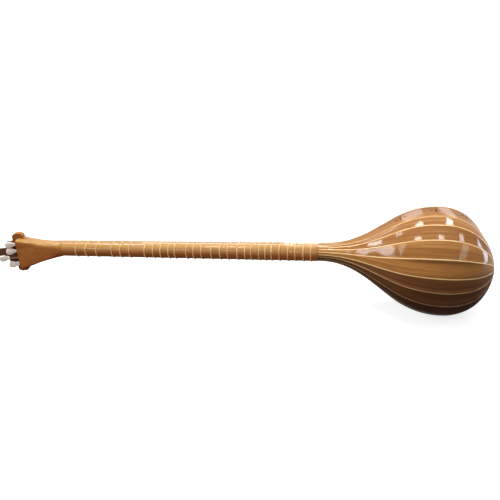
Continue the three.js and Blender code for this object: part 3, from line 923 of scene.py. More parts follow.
@dataclass
class Bowl:
    """The ribs, the strips between them, the soundboard and the saddle at the tail.

    Widths, shades and glosses are tables from the neck to the tail or from the lowest rib up.
    The shades are painted shade on the lower ribs and strips and painted light on the upper ones.
    """

    shop: Workshop
    length: float = 257.6
    half_width: float = 75.3
    depth: float = 135.0
    width_shares: Row = (0.175, 0.2, 0.3, 0.5, 0.805, 1.17, 1.51, 1.82, 2.13, 2.38, 2.46)
    centre_shares: Row = (0.095, 0.122, 0.174, 0.25, 0.326, 0.38, 0.407, 0.429, 0.444, 0.457, 0.444)
    stations: int = 190
    last_share: float = 0.9999
    joints: int = 12
    rib_turn: float = math.radians(20.4)
    section_power: float = 1.12
    rim_share: float = 0.99
    shoulder_share: float = 0.88
    tail_inset: float = 3.0
    skin: float = 0.3
    skin_share: float = 0.2
    core_share: float = 0.8
    rib_thickness: float = 3.0
    rib_thickness_share: float = 0.5
    rib_places: Row = (0.0, 0.015, 0.03, 0.045, 0.065, 0.1, 0.16, 0.26, 0.38)
    rib_crown: float = 0.22
    rib_crown_share: float = 0.012
    rib_ease: float = 0.12
    rib_ease_share: float = 0.05
    # Each rib's own tone, with painted shade on the lower ribs and painted light on the upper ones
    rib_shades: Row = (0.8, 0.62, 0.44, 0.32, 0.42, 0.61, 1.28, 1.2, 1.0, 1.04, 1.18)
    rib_gloss: Row = (0.3, 0.2, 0.14, 0.1, 0.18, 0.35, 0.7, 1.0, 1.0, 1.0, 0.8)
    # How much redder the painted shade makes the darker ribs
    rib_redness: float = 1.25
    grain_width_share: float = 0.55
    grain_margin: float = 8.0
    grain_steps: tuple[float, float] = (90, 31)
    strip_width: float = 1.5
    strip_share: float = 0.3
    strip_overlap: float = 0.9
    strip_depth: float = 1.1
    strip_rise: float = 0.14
    strip_sink: float = 0.02
    # Painted shade on the strips of the lower ribs and painted light on the upper ones
    strip_shades: Row = (0.45, 0.45, 0.45, 0.45, 0.48, 0.62, 0.88, 1.1, 1.15, 1.15, 1.0)
    # Powers of red, green and blue that make the strips' painted shade redder
    strip_powers: Row = (1.0, 1.2, 1.5)
    strip_points: int = 7
    hole_radius: float = 1.9
    hole_spacing: float = 6.0
    hole_depth: float = 22.0
    hole_shares: Row = (0.494, 0.69, 0.859)
    hole_pattern: tuple[tuple[int, int], ...] = ((-1, 0), (1, 0), (0, -1), (0, 1), (0, 0))
    hole_reach: tuple[float, float] = (20.0, 90.0)
    hole_sides: int = 16
    board_thickness: float = 3.0
    board_inset: float = 0.1
    board_inset_share: float = 0.5
    board_rounding: Rounding = Rounding(0.4, 2)
    seam: float = 0.3
    board_holes_share: float = 0.54
    board_hole_radius: float = 1.3
    board_hole_spacing: float = 7.0
    board_hole_sides: int = 20
    board_hole_rows: tuple[int, ...] = (1, 2, 3, 2, 1)
    holder_half: float = 12.0
    holder_thickness: float = 3.4
    holder_rise: float = 2.4
    holder_drop: float = 9.0
    holder_points: int = 41
    holder_rounding: Rounding = Rounding(0.8)
    rim_samples: int = 4000

    def half_at(self, share: Array) -> Array:
        """Half the belly's width: a table of shares times the square root of what is left."""
        widths = self.half_width * table_at(self.width_shares, share)
        return widths * np.sqrt(np.maximum(1 - share, 0))

    def centre_at(self, share: Array) -> Array:
        """Depth of the belly's middle behind the soundboard: a table of shares of the depth."""
        return self.depth * table_at(self.centre_shares, share)

    def x_at(self, share: Array | float, inset: float = 0.0) -> Array | float:
        """How far along the instrument a share of the bowl's length is, less an inset."""
        return -self.shop.layout.neck_length - share * (self.length - inset)

    def skin_at(self, share: Array) -> Array:
        """How far the ribs lie inside the bowl's outline, which thins where the bowl does."""
        return np.minimum(self.skin, self.half_at(share) * self.skin_share)

    def shares(self) -> Array:
        """Shares of the bowl's length: one less the square of an evenly falling number."""
        left = 1 - np.linspace(0, 1, self.stations) * (1 - math.sqrt(1 - self.last_share))
        return 1 - left**2

    def joint(self, number: int, share: Array, inwards: Array | float = 0.0) -> Array:
        """The line where two ribs meet, from 0 at the lower rim to 11 at the upper one.

        The back's joints stand on a half circle across the belly, with cosine and sine raised to
        the section's power. The shoulder stands at the belly's full width and the rim at the
        soundboard.

        Args:
            number: Which joint.
            share: Shares of the bowl's length.
            inwards: How far inside the bowl's surface.

        Returns:
            One point for each share.
        """
        half, y = self.half_at(share), self.centre_at(share)
        side = -1 if number < self.joints / 2 else 1
        step = min(number, self.joints - 1 - number)
        radius = np.maximum(half - inwards, 0)
        if step == 0:
            rim = np.maximum(half * self.rim_share - inwards, 0)
            return points(self.x_at(share, self.tail_inset), self.board_thickness + self.seam,
                          side * rim)
        if step == 1:
            return points(self.x_at(share), y * self.shoulder_share, side * radius)
        turn = (self.joints / 2 - step - 0.5) * self.rib_turn
        return points(self.x_at(share), y + radius * math.cos(turn) ** self.section_power,
                      side * radius * math.sin(turn) ** self.section_power)

    def strip_half_at(self, number: int, share: Array) -> Array:
        """Half a strip's width, which narrows where the joints run together.

        Args:
            number: Which joint.
            share: Shares of the bowl's length.

        Returns:
            Millimetres at each share.
        """
        low, line, high = (self.joint(number + i, share) for i in (-1, 0, 1))
        below, above = np.linalg.norm(line - low, axis=-1), np.linalg.norm(high - line, axis=-1)
        return np.minimum(self.strip_width, np.minimum(below, above) * self.strip_share) / 2

    def trim_at(self, number: int, share: Array) -> Array:
        """How much of a rib its strip takes at a joint: nothing at the rims.

        Args:
            number: Which joint.
            share: Shares of the bowl's length.

        Returns:
            Millimetres at each share.
        """
        if number in (0, self.joints - 1):
            return np.zeros_like(share)
        return self.strip_half_at(number, share) * self.strip_overlap

    def outwards(self, share: Array, line: Array, normals: Array) -> Array:
        """Normals along a line, turned away from the bowl's core."""
        away = points(0, line[:, 1] - self.centre_at(share) * self.core_share, line[:, 2])
        return normals * np.sign(np.sum(normals * away, axis=-1))[:, None]

    def rib_shell(self, number: int) -> Shell:
        """A rib: a nearly flat band between two joints, with eased edges and an inner face.

        Across the rib, its crown falls off as one less the square of the distance from its middle,
        and its edges drop by a square near the joints.

        Args:
            number: Which rib, from the lowest up.

        Returns:
            The closed surface.
        """
        share = self.shares()
        skin, pair = self.skin_at(share), (number, number + 1)
        deep = skin + np.minimum(self.rib_thickness, self.half_at(share) * self.rib_thickness_share)
        lower, upper = (self.joint(joint, share, skin) for joint in pair)
        across, middle = upper - lower, (lower + upper) / 2
        width = np.linalg.norm(across, axis=-1)
        start, end = (self.trim_at(joint, share) / np.maximum(width, 0.01) for joint in pair)
        near = np.array(self.rib_places)
        place = np.concatenate([near, [0.5], 1 - near[::-1]])[None]
        position = start[:, None] + (1 - start - end)[:, None] * place
        ahead = unit(np.gradient(middle, axis=0))
        out = self.outwards(share, middle, unit(np.cross(ahead, unit(across))))
        crown = np.minimum(self.rib_crown, width * self.rib_crown_share)[:, None]
        edge = np.minimum(place, 1 - place) / self.rib_ease_share
        rise = crown * (1 - (2 * place - 1) ** 2) - self.rib_ease * np.clip(1 - edge, 0, 1) ** 2
        outer = lower[:, None] + across[:, None] * position[..., None]
        outer = outer + out[:, None] * rise[..., None]
        low, high = (self.joint(joint, share, deep)[:, None] for joint in pair)
        inner = mixed(low, high, position[:, ::-1, None])
        return Shell.from_rings(np.concatenate([outer, inner], axis=1))

    def hole_cutter(self, side: int) -> Shell:
        """The bars that cut one side rib's groups of sound holes.

        Args:
            side: -1 for the lower rib, 1 for the upper one.

        Returns:
            All bars in one.
        """
        bars = []
        for share in self.hole_shares:
            for dx, dy in self.hole_pattern:
                middle = (self.x_at(share) + dx * self.hole_spacing,
                          self.hole_depth + dy * self.hole_spacing)
                x, y = circle(self.hole_radius, self.hole_sides, middle).T
                bars.append(Shell.from_rings(np.stack([points(x, y, side * z)
                                                       for z in self.hole_reach])))
        return Shell.joined(bars)

    def mark_grain(self, piece: Piece, number: int) -> None:
        """Writes where each point lies along and across its rib.

        The first number is the distance from the joint with the neck, the second the share between
        the rib's two edges times its width, and both others are set off by the rib's number.

        Args:
            piece: The rib.
            number: Which rib, from the lowest up.
        """
        mesh = piece.data
        places = np.empty(len(mesh.vertices) * 3)
        mesh.vertices.foreach_get("co", places)
        places = places.reshape(-1, 3) / MM - np.array(self.shop.layout.origin)
        share = (-self.shop.layout.neck_length - places[:, 0]) / self.length
        share = np.clip(share, 0, self.last_share)
        lower, upper = self.joint(number, share), self.joint(number + 1, share)
        across = upper - lower
        reach = np.maximum(np.sum(across**2, axis=-1), 1e-6)
        place = np.sum((places - lower) * across, axis=-1) / reach
        width = self.grain_width_share * np.linalg.norm(across, axis=-1) + self.grain_margin
        grain = points(share * self.length, place * width + self.grain_steps[0] * number,
                       self.grain_steps[1] * number)
        attribute = mesh.attributes.new("grain", "FLOAT_VECTOR", "POINT")
        attribute.data.foreach_set("vector", (grain * MM).astype(np.float32).ravel())

    def strip_shell(self, number: int) -> Shell:
        """A strip along a joint: a low arch of wood let in between two ribs.

        Its section is a box as deep as the strip whose top is a low arc, set across the joint's
        line by the mean direction of the two ribs beside it.

        Args:
            number: Which joint.

        Returns:
            The closed surface.
        """
        share = self.shares()
        line = self.joint(number, share, self.skin_at(share))
        across = unit(self.joint(number + 1, share) - line)
        across = across + unit(line - self.joint(number - 1, share))
        ahead = unit(np.gradient(line, axis=0))
        across = unit(across - ahead * np.sum(across * ahead, axis=-1)[:, None])
        out = self.outwards(share, line, np.cross(ahead, across))
        half = self.strip_half_at(number, share)[:, None]
        place = np.linspace(-1, 1, self.strip_points)
        scale = np.minimum(1, half / (self.strip_width / 2))
        top = scale * self.strip_rise * (1 - place**2) - self.strip_sink
        deep = -self.strip_depth * scale
        side, height = half * np.append(place, [1, -1]), np.concatenate([top, deep, deep], axis=1)
        rings = line[:, None] + across[:, None] * side[..., None] + out[:, None] * height[..., None]
        return Shell.from_rings(rings)

    def rim_line(self) -> Array:
        """The soundboard's edge, from the joint round the tail and back, as x and z.

        Returns:
            The closed outline.
        """
        share = self.shares()
        inset = np.minimum(self.board_inset, self.half_at(share) * self.board_inset_share)
        rim = self.joint(self.joints - 1, share, inset)[:, [0, 2]]
        return np.concatenate([rim, rim[::-1] * [1, -1]])

    def board_holes(self) -> list[Array]:
        """The soundboard's round holes, in rows that make a diamond.

        Returns:
            Each hole's outline.
        """
        rows, holes = self.board_hole_rows, []
        for row, count in enumerate(rows):
            off = (row - (len(rows) - 1) / 2) * self.board_hole_spacing
            x = self.x_at(self.board_holes_share) - off
            for i in range(count):
                z = (i - (count - 1) / 2) * self.board_hole_spacing
                holes.append(circle(self.board_hole_radius, self.board_hole_sides, (x, z)))
        return holes

    def rim_at(self, z: Array) -> Array:
        """Where the rim is at a height near the tail, read off the rim's own line.

        Args:
            z: Heights from the middle.

        Returns:
            The rim's x there.
        """
        share = np.linspace(1, 0.5, self.rim_samples)
        near = np.interp(np.abs(z), self.half_at(share) * self.rim_share, share)
        return self.x_at(near, self.tail_inset)

    def holder_shell(self) -> Shell:
        """The saddle: a bar bent along the rim, with a gap to it that clears the tail's bulge.

        Returns:
            The closed surface.
        """
        shoulder = self.centre_at(np.array(1.0)) * self.shoulder_share
        gap = self.seam + self.tail_inset * self.holder_drop / shoulder
        z = np.linspace(-self.holder_half, self.holder_half, self.holder_points)
        slope = np.gradient(self.rim_at(z), z)
        reach = np.hypot(1, slope)

        def edge(out: float) -> Array:
            """One edge of the saddle's outline, a distance outside the rim."""
            return points(self.rim_at(z) - out / reach, z + out * slope / reach)

        outline = np.concatenate([edge(gap), edge(gap + self.holder_thickness)[::-1]])
        return Shell.plate(outline, [], -self.holder_rise, self.holder_drop)

    def build(self) -> None:
        """Makes every piece of the bowl."""
        names = ["side_rib_lower", "rib_1", "rib_2", "rib_3", "rib_4", "rib_5_centre"]
        names += ["rib_6", "rib_7", "rib_8", "rib_9", "side_rib_upper"]
        for number, name in enumerate(names):
            side_holes = {0: -1, len(names) - 1: 1}
            cuts = [self.hole_cutter(side_holes[number])] if number in side_holes else []
            # Painted shade darkens and reddens the lower ribs, painted light brightens the upper
            # ones
            redder = self.rib_shades[number] ** self.rib_redness
            shade = np.array([self.rib_shades[number], redder, redder, self.rib_gloss[number]])
            rib = self.shop.make(name + "_skin", self.rib_shell(number), Finish.RIB_WOOD,
                                 nodes=[name], cuts=cuts, shade=shade)
            self.mark_grain(rib, number)
        for number in range(1, self.joints - 1):
            # Painted shade darkens and reddens the lower strips, painted light brightens the upper
            # ones
            tint = self.strip_shades[number]
            shade = np.array([*(tint**power for power in self.strip_powers), 1.0])
            self.shop.make(f"strip_{number:02d}", self.strip_shell(number), Finish.STRIP_WOOD,
                           shade=shade)
        board = Shell.plate(self.rim_line(), self.board_holes(), 0.0, self.board_thickness)
        self.shop.make("soundboard_plate", board, Finish.BOARD_WOOD, nodes=["soundboard"],
                       rounding=self.board_rounding)
        self.shop.make("tail_saddle", self.holder_shell(), Finish.BONE, nodes=["string_holder"],
                       rounding=self.holder_rounding)


@dataclass
class Neck:
    """The neck, its nut and the frets wound round it, each at its cents above the open string."""

    shop: Workshop
    half_at_nut: float = 12.4
    half_at_joint: float = 13.05
    corner: float = 0.9
    front_range: tuple[float, float] = (0.06, 0.94)
    section_points: tuple[int, int, int] = (8, 9, 61)
    stations: int = 60
    head_face: float = 2.72
    joint_gap: float = 0.3
    cents: tuple[int, ...] = (
        90, 144, 204, 294, 345, 400, 498, 553, 603, 657, 702, 786, 839, 899,
        979, 1050, 1115, 1200, 1271, 1328, 1404, 1467, 1531, 1616, 1714, 1800, 1902, 1999)
    gut_radius: float = 0.27
    gut_pitch: float = 0.62
    gut_turns: float = 3.0
    gut_clearance: float = 0.06
    knot_place: tuple[float, float] = (17.5, -11.5)
    knot_size: Row = (0.36, 0.3, 0.25)
    knot_rise: float = 2.3
    knot_gut_share: float = 0.9
    end_reach: tuple[float, float] = (1.3, 1.6)
    end_rise: float = 0.35
    end_gut_share: float = 0.85
    turn_steps: int = 72
    knot_steps: int = 48
    nut_length: float = 22.0
    nut_chamfer: float = 0.8
    nut_end_share: float = 0.45
    nut_power: float = 0.6
    nut_points: int = 15

    def half_at(self, x: Array) -> Array:
        """Half the neck's width, which grows evenly towards the bowl."""
        return mixed(self.half_at_nut, self.half_at_joint, -x / self.shop.layout.neck_length)

    def section(self, half: Array, out: float) -> Array:
        """The neck's outline across, moved outwards, for each half width.

        It starts in the middle of the flat front and runs round an eased corner, a straight side,
        the half circle of the back, and back the same way. Depth and height are given.

        Args:
            half: Half widths.
            out: How far outwards it is moved.

        Returns:
            Points by half width and place in the outline.
        """
        half = np.asarray(half, float)[:, None]
        flat, reach = half - self.corner, self.corner + out
        on_front, on_corner, on_back = self.section_points
        front = np.linspace(*self.front_range, on_front)
        quarter, around = np.linspace(0, np.pi / 2, on_corner), np.linspace(0, np.pi, on_back)
        parts = [
            (-out, flat * front),
            (self.corner - reach * np.cos(quarter), flat + reach * np.sin(quarter)),
            (half + (half + out) * np.sin(around), (half + out) * np.cos(around)),
            (self.corner - reach * np.sin(quarter), -flat - reach * np.cos(quarter)),
            (-out, -flat * (1 - front))]
        return np.concatenate([points(*part) for part in parts], axis=1)

    def shell(self) -> Shell:
        """The neck: its outline carried from the bowl to the head's tilted face.

        Returns:
            The closed surface.
        """
        tilt = self.shop.layout.head_tilt
        joint = -self.shop.layout.neck_length + self.joint_gap
        share = np.linspace(0, 1, self.stations)
        outline = self.section(self.half_at(mixed(joint, 0.0, share)), 0.0)
        face = (self.head_face - outline[..., 0] * math.sin(tilt)) / math.cos(tilt)
        x = mixed(joint, face, share[:, None])
        return Shell.from_rings(np.concatenate([x[..., None], outline], axis=-1))

    def fret_shell(self, x: float) -> Shell:
        """A fret: one gut wire wound round the neck, with its knot at the lower edge.

        The wire follows the neck's outline moved out by its radius, and goes along the neck by the
        pitch at each turn. The knot is a small trefoil: sin t + 2 sin 2t, cos t - 2 cos 2t and
        - sin 3t, each times its size. Its two ends are cut short and bow outwards by a sine.

        Args:
            x: Where the fret stands.

        Returns:
            The gut, the knot and its ends in one.
        """
        radius = self.gut_radius
        half = np.array([self.half_at(np.array(x))])
        outline = self.section(half, radius + self.gut_clearance)[0]
        looped = np.concatenate([outline, outline[:1]])
        steps = np.linalg.norm(np.diff(looped, axis=0), axis=1)
        walked = np.concatenate([[0], np.cumsum(steps)])
        knot_side = np.argmin(np.hypot(*(outline - self.knot_place).T))
        turns = np.linspace(0, self.gut_turns, int(self.turn_steps * self.gut_turns) + 1)
        walk = ((turns + walked[knot_side] / walked[-1]) % 1) * walked[-1]
        depth, height = (np.interp(walk, walked, looped[:, i]) for i in (0, 1))
        along = x + (turns - self.gut_turns / 2) * self.gut_pitch
        ahead = np.array([1.0, 0, 0])
        gut = wire(points(along, depth, height), ahead, radius)
        t = whole_turn(self.knot_steps)
        knot = points(np.sin(t) + 2 * np.sin(2 * t), np.cos(t) - 2 * np.cos(2 * t), -np.sin(3 * t))
        out = unit(np.array([0, depth[0] - self.half_at_nut, height[0]]))
        beside = np.cross(out, ahead)
        middle = np.array([x, depth[0], height[0]]) + out * (radius * self.knot_rise)
        path = (knot * self.knot_size) @ np.stack([ahead, beside, out]) + middle
        wires = [gut, wire(path, out, radius * self.knot_gut_share, 6, closed=True)]
        t = np.linspace(0, 1, 8)[:, None]
        for side in (-1, 1):
            lean = side * self.end_reach[0] * ahead - beside * self.end_reach[1]
            path = middle + lean * t + out * self.end_rise * np.sin(np.pi * t)
            wires.append(wire(path, out, radius * self.end_gut_share, 6))
        return Shell.joined(wires)

    def nut_shell(self) -> Shell:
        """The nut: a low bar with a rounded top, carried across the neck, lower at its ends.

        Returns:
            The closed surface.
        """
        layout, half = self.shop.layout, self.nut_length / 2
        inner = np.linspace(self.nut_chamfer - half, half - self.nut_chamfer, self.nut_points)
        z = np.concatenate([[-half], inner, [half]])[:, None]
        share = np.where(np.abs(z) < half, 1.0, self.nut_end_share)
        turn = np.linspace(0, np.pi, 13)
        rise = (layout.nut_height * share - layout.seat) * np.sin(turn) ** self.nut_power
        return Shell.from_rings(points(layout.nut_width / 2 * np.cos(turn), -layout.seat - rise, z))

    def build(self) -> None:
        """Makes the neck, the nut and 28 frets."""
        layout = self.shop.layout
        # Painted light on the neck's upper side and painted shade on its lower side
        self.shop.make("neck_shaft", self.shell(), Finish.NECK_WOOD, nodes=["neck"],
                       sides=(layout.low_tint, layout.high_tint))
        self.shop.make("nut_bar", self.nut_shell(), Finish.BONE, nodes=["nut"])
        for i, cents in enumerate(self.cents, 1):
            shell = self.fret_shell(-layout.scale_length * (1 - 2 ** (-cents / 1200)))
            self.shop.make(f"fret_gut_{i:02d}", shell, Finish.GUT, f"fret_{i:02d}_body",
                           [f"fret_{i:02d}"])


@dataclass(frozen=True)
class Post:
    """Where one tuner stands: its post's place and side, and its key's height and extra length."""

    number: int
    x: float
    z: float
    key_z: float
    extra: float
    side: int


@dataclass
class Head:
    """The pegbox with its ears, and the dark plate over its front, before they lean back."""

    shop: Workshop
    start: float = 3.0
    overlap: float = 0.26
    plate: float = 4.7
    length: float = 75.4
    depth: float = 27.5
    depth_at_neck: float = 25.0
    half_at_neck: float = 12.6
    half_at_end: float = 27.0
    width_shares: Row = (0, 0.11, 0.36, 0.73, 1)
    depth_shares: Row = (0, 0.5, 0.9, 1, 1)
    powers: Row = (1, 0.48, 0.32, 0.25, 0.2)
    wall: float = 3.0
    end_wall: float = 5.0
    floor: float = 4.1
    room_start: float = 0.32
    room_lap: float = 0.5
    pocket_rise: float = 2.0
    pocket_gap: float = 0.05
    section_points: int = 73
    ear_half: float = 35.4
    ear_depth: float = 11.4
    ear_root: float = 20.4
    ear_reach: float = 9.6
    ear_length: float = 19.4
    ear_inner: float = 20.0
    ear_corner: float = 7.0
    ear_lap: float = 1.0
    ear_sink: float = 0.04
    tongue_half: float = 7.5
    tongue_reach: float = 36.0
    tongue_corner: float = 4.0
    shoulder_reach: float = 15.0
    shoulder_corner: float = 2.0
    plate_start_share: float = 0.2
    plate_round: float = 8.0
    plate_crowding: float = 1.6
    plate_gap: float = 0.12
    key_depth: float = 20.0
    hole: float = 1.8
    hole_reach: float = 6.0
    post_hole: float = 2.3
    post_hole_reach: tuple[float, float] = (-0.3, 2.3)
    box_rounding: Rounding = Rounding(0.7, 3, 50)
    ear_rounding: Rounding = Rounding(1.6, 4, 50)
    plate_rounding: Rounding = Rounding(0.7)

    @property
    def end(self) -> float:
        """Where the box ends, from the nut."""
        return self.start + self.length

    @property
    def tip(self) -> float:
        """Where the ears end, from the nut."""
        return self.end + self.ear_reach

    def half_at(self, share: Array) -> Array:
        """Half the box's width, from neck to end by a table of shares."""
        return mixed(self.half_at_neck, self.half_at_end, table_at(self.width_shares, share))

    def half_at_x(self, x: Array) -> Array:
        """Half the box's width at a distance from the nut."""
        return self.half_at(((x - self.start) / self.length).clip(0, 1))

    def rings(self, share: Array, start: float, front: float, wall: float = 0.0,
              floor: float = 0.0) -> Shell:
        """The box's sections, closed by a flat front: round by the neck, nearly square at the end.

        Across, depth and height are cosine and sine raised to a power that falls along the box.

        Args:
            share: Shares of the box's length.
            start: Where the share 0 is, from the nut.
            front: Depth of the flat front.
            wall: How far inside the box's sides.
            floor: How far inside its back.

        Returns:
            The closed surface.
        """
        share = share[:, None]
        turn = np.linspace(-np.pi / 2, np.pi / 2, self.section_points)
        power, half = table_at(self.powers, share), self.half_at(share)
        bottom = mixed(self.depth_at_neck, self.depth, table_at(self.depth_shares, share))
        middle = np.minimum(half, (bottom - self.plate) / 2) + self.plate
        y = middle + (bottom - middle - floor) * squared(np.cos(turn), power)
        z = (half - wall) * squared(np.sin(turn), power)
        top, edge = np.full_like(share, front), half - wall
        y = np.concatenate([y, top, top], axis=1)
        z = np.concatenate([z, edge, -edge], axis=1)
        return Shell.from_rings(points(mixed(start, self.end, share), y, z))

    def plate_outline(self, out: float) -> Array:
        """The plate's outline on the head's front, moved outwards.

        It starts in a half circle near the neck, follows the box a wall's width inside it, keeps
        the gap between the ears to its shoulders, and steps in to the tongue. Its corners are
        quarter circles.

        Args:
            out: How far outwards it is moved.

        Returns:
            The closed outline as x and z.
        """
        share = np.linspace(0, 1, 60) ** self.plate_crowding
        x = mixed(self.start + self.length * self.plate_start_share, self.tip, share)
        u = ((x - x[0]) / self.plate_round).clip(0, 1)
        half = np.minimum(self.half_at_x(x) - self.wall, self.ear_inner)
        body = points(x, half * np.sqrt(1 - (1 - u) ** 2))[1:]
        turn = np.linspace(0, np.pi / 2, 9)
        sine, cosine = np.sin(turn), np.cos(turn)
        shoulder, corner = self.tip + self.shoulder_reach, self.shoulder_corner
        far, far_corner, side = self.tip + self.tongue_reach, self.tongue_corner, self.tongue_half
        step = points(shoulder - corner * (1 - sine), self.ear_inner - corner * (1 - cosine))
        hollow = points(shoulder + corner * (1 - cosine), side + corner * (1 - sine))
        tongue = points(far - far_corner * (1 - sine), side - far_corner * (1 - cosine))
        edge = np.concatenate([body, step, hollow, tongue]) + [0, out]
        return np.concatenate([edge, edge[::-1] * [1, -1]])

    def ear_outline(self) -> Array:
        """The upper ear's outline on the front.

        It leaves the box's side on a cubic curve, turns two quarter circles, and comes back inside
        the box's wall.

        Returns:
            The closed outline as x and z.
        """
        root, knob, corner = self.end - self.ear_root, self.tip - self.ear_length, self.ear_corner
        held = np.array([root, (root + knob) / 2, knob])
        p = points(held, self.half_at_x(held))
        high, t = self.ear_half - corner, np.linspace(0, 1, 25)[:, None]
        curve = (1 - t) ** 3 * p[0] + 3 * (1 - t) ** 2 * t * p[1]
        curve = curve + 3 * (1 - t) * t**2 * p[2] + t**3 * np.array([knob, high])
        arcs = []
        for x, first in ((knob + corner, np.pi), (self.tip - corner, np.pi / 2)):
            turn = first - np.linspace(0, np.pi / 2, 13)
            arcs.append(points(x + corner * np.cos(turn), high + corner * np.sin(turn)))
        wall, inner = self.wall / 2, self.end - self.ear_lap
        back = [(self.tip, self.ear_inner), (inner, self.ear_inner),
                (inner, self.half_at_end - wall), (root, p[0, 1] - wall)]
        return np.concatenate([curve, arcs[0][1:], arcs[1], back])

    def bores(self, posts: Sequence[Post]) -> Shell:
        """The holes of the keys in the end wall, and of the posts' feet in the floor.

        Args:
            posts: The tuners' places.

        Returns:
            All holes in one.
        """
        near, far = self.end - self.end_wall - self.hole_reach, self.end + self.hole_reach
        bars = [turned([(near, self.hole), (far, self.hole)]).moved(
            lambda p, z=post.key_z: p + [0, self.key_depth, z]) for post in posts]
        foot = [(self.depth - self.floor + y, self.post_hole) for y in self.post_hole_reach]
        return Shell.joined(bars + [standing(foot, post.x, post.z) for post in posts])

    def build(self, posts: Sequence[Post]) -> None:
        """Makes the box, the ears and the plate around the posts.

        Args:
            posts: The tuners' places.
        """
        layout = self.shop.layout
        outside = self.rings(np.linspace(0, 1, 40), self.start - self.overlap, 0.0)
        pocket = Shell.plate(self.plate_outline(0.0), [], -self.pocket_rise,
                             self.plate + self.pocket_gap)
        share = np.linspace(self.room_start, 1 - self.end_wall / self.length, 12)
        room = self.rings(share, self.start, self.plate - self.room_lap, self.wall, self.floor)
        # Painted light on the box's upper side and painted shade on its lower side
        self.shop.make("head_box", outside, Finish.HEAD_WOOD, nodes=["pegbox"],
                       rounding=self.box_rounding, cuts=[pocket, room, self.bores(posts)],
                       sides=(layout.low_tint, layout.high_tint))
        for side, name in ((1, "ear_upper"), (-1, "ear_lower")):
            ear = Shell.plate(self.ear_outline() * [1, side], [], self.ear_sink, self.ear_depth)
            # The ears take painted shade below and lighter painted shade above
            self.shop.make(name, ear, Finish.HEAD_WOOD, rounding=self.ear_rounding,
                           sides=(layout.ear_low_tint, layout.ear_high_tint))
        holes = [circle(self.post_hole, 24, (post.x, post.z)) for post in posts]
        plate = Shell.plate(self.plate_outline(-self.plate_gap), holes, 0.0, self.plate)
        self.shop.make("head_front", plate, Finish.DARK_WOOD, nodes=["head_plate"],
                       rounding=self.plate_rounding)


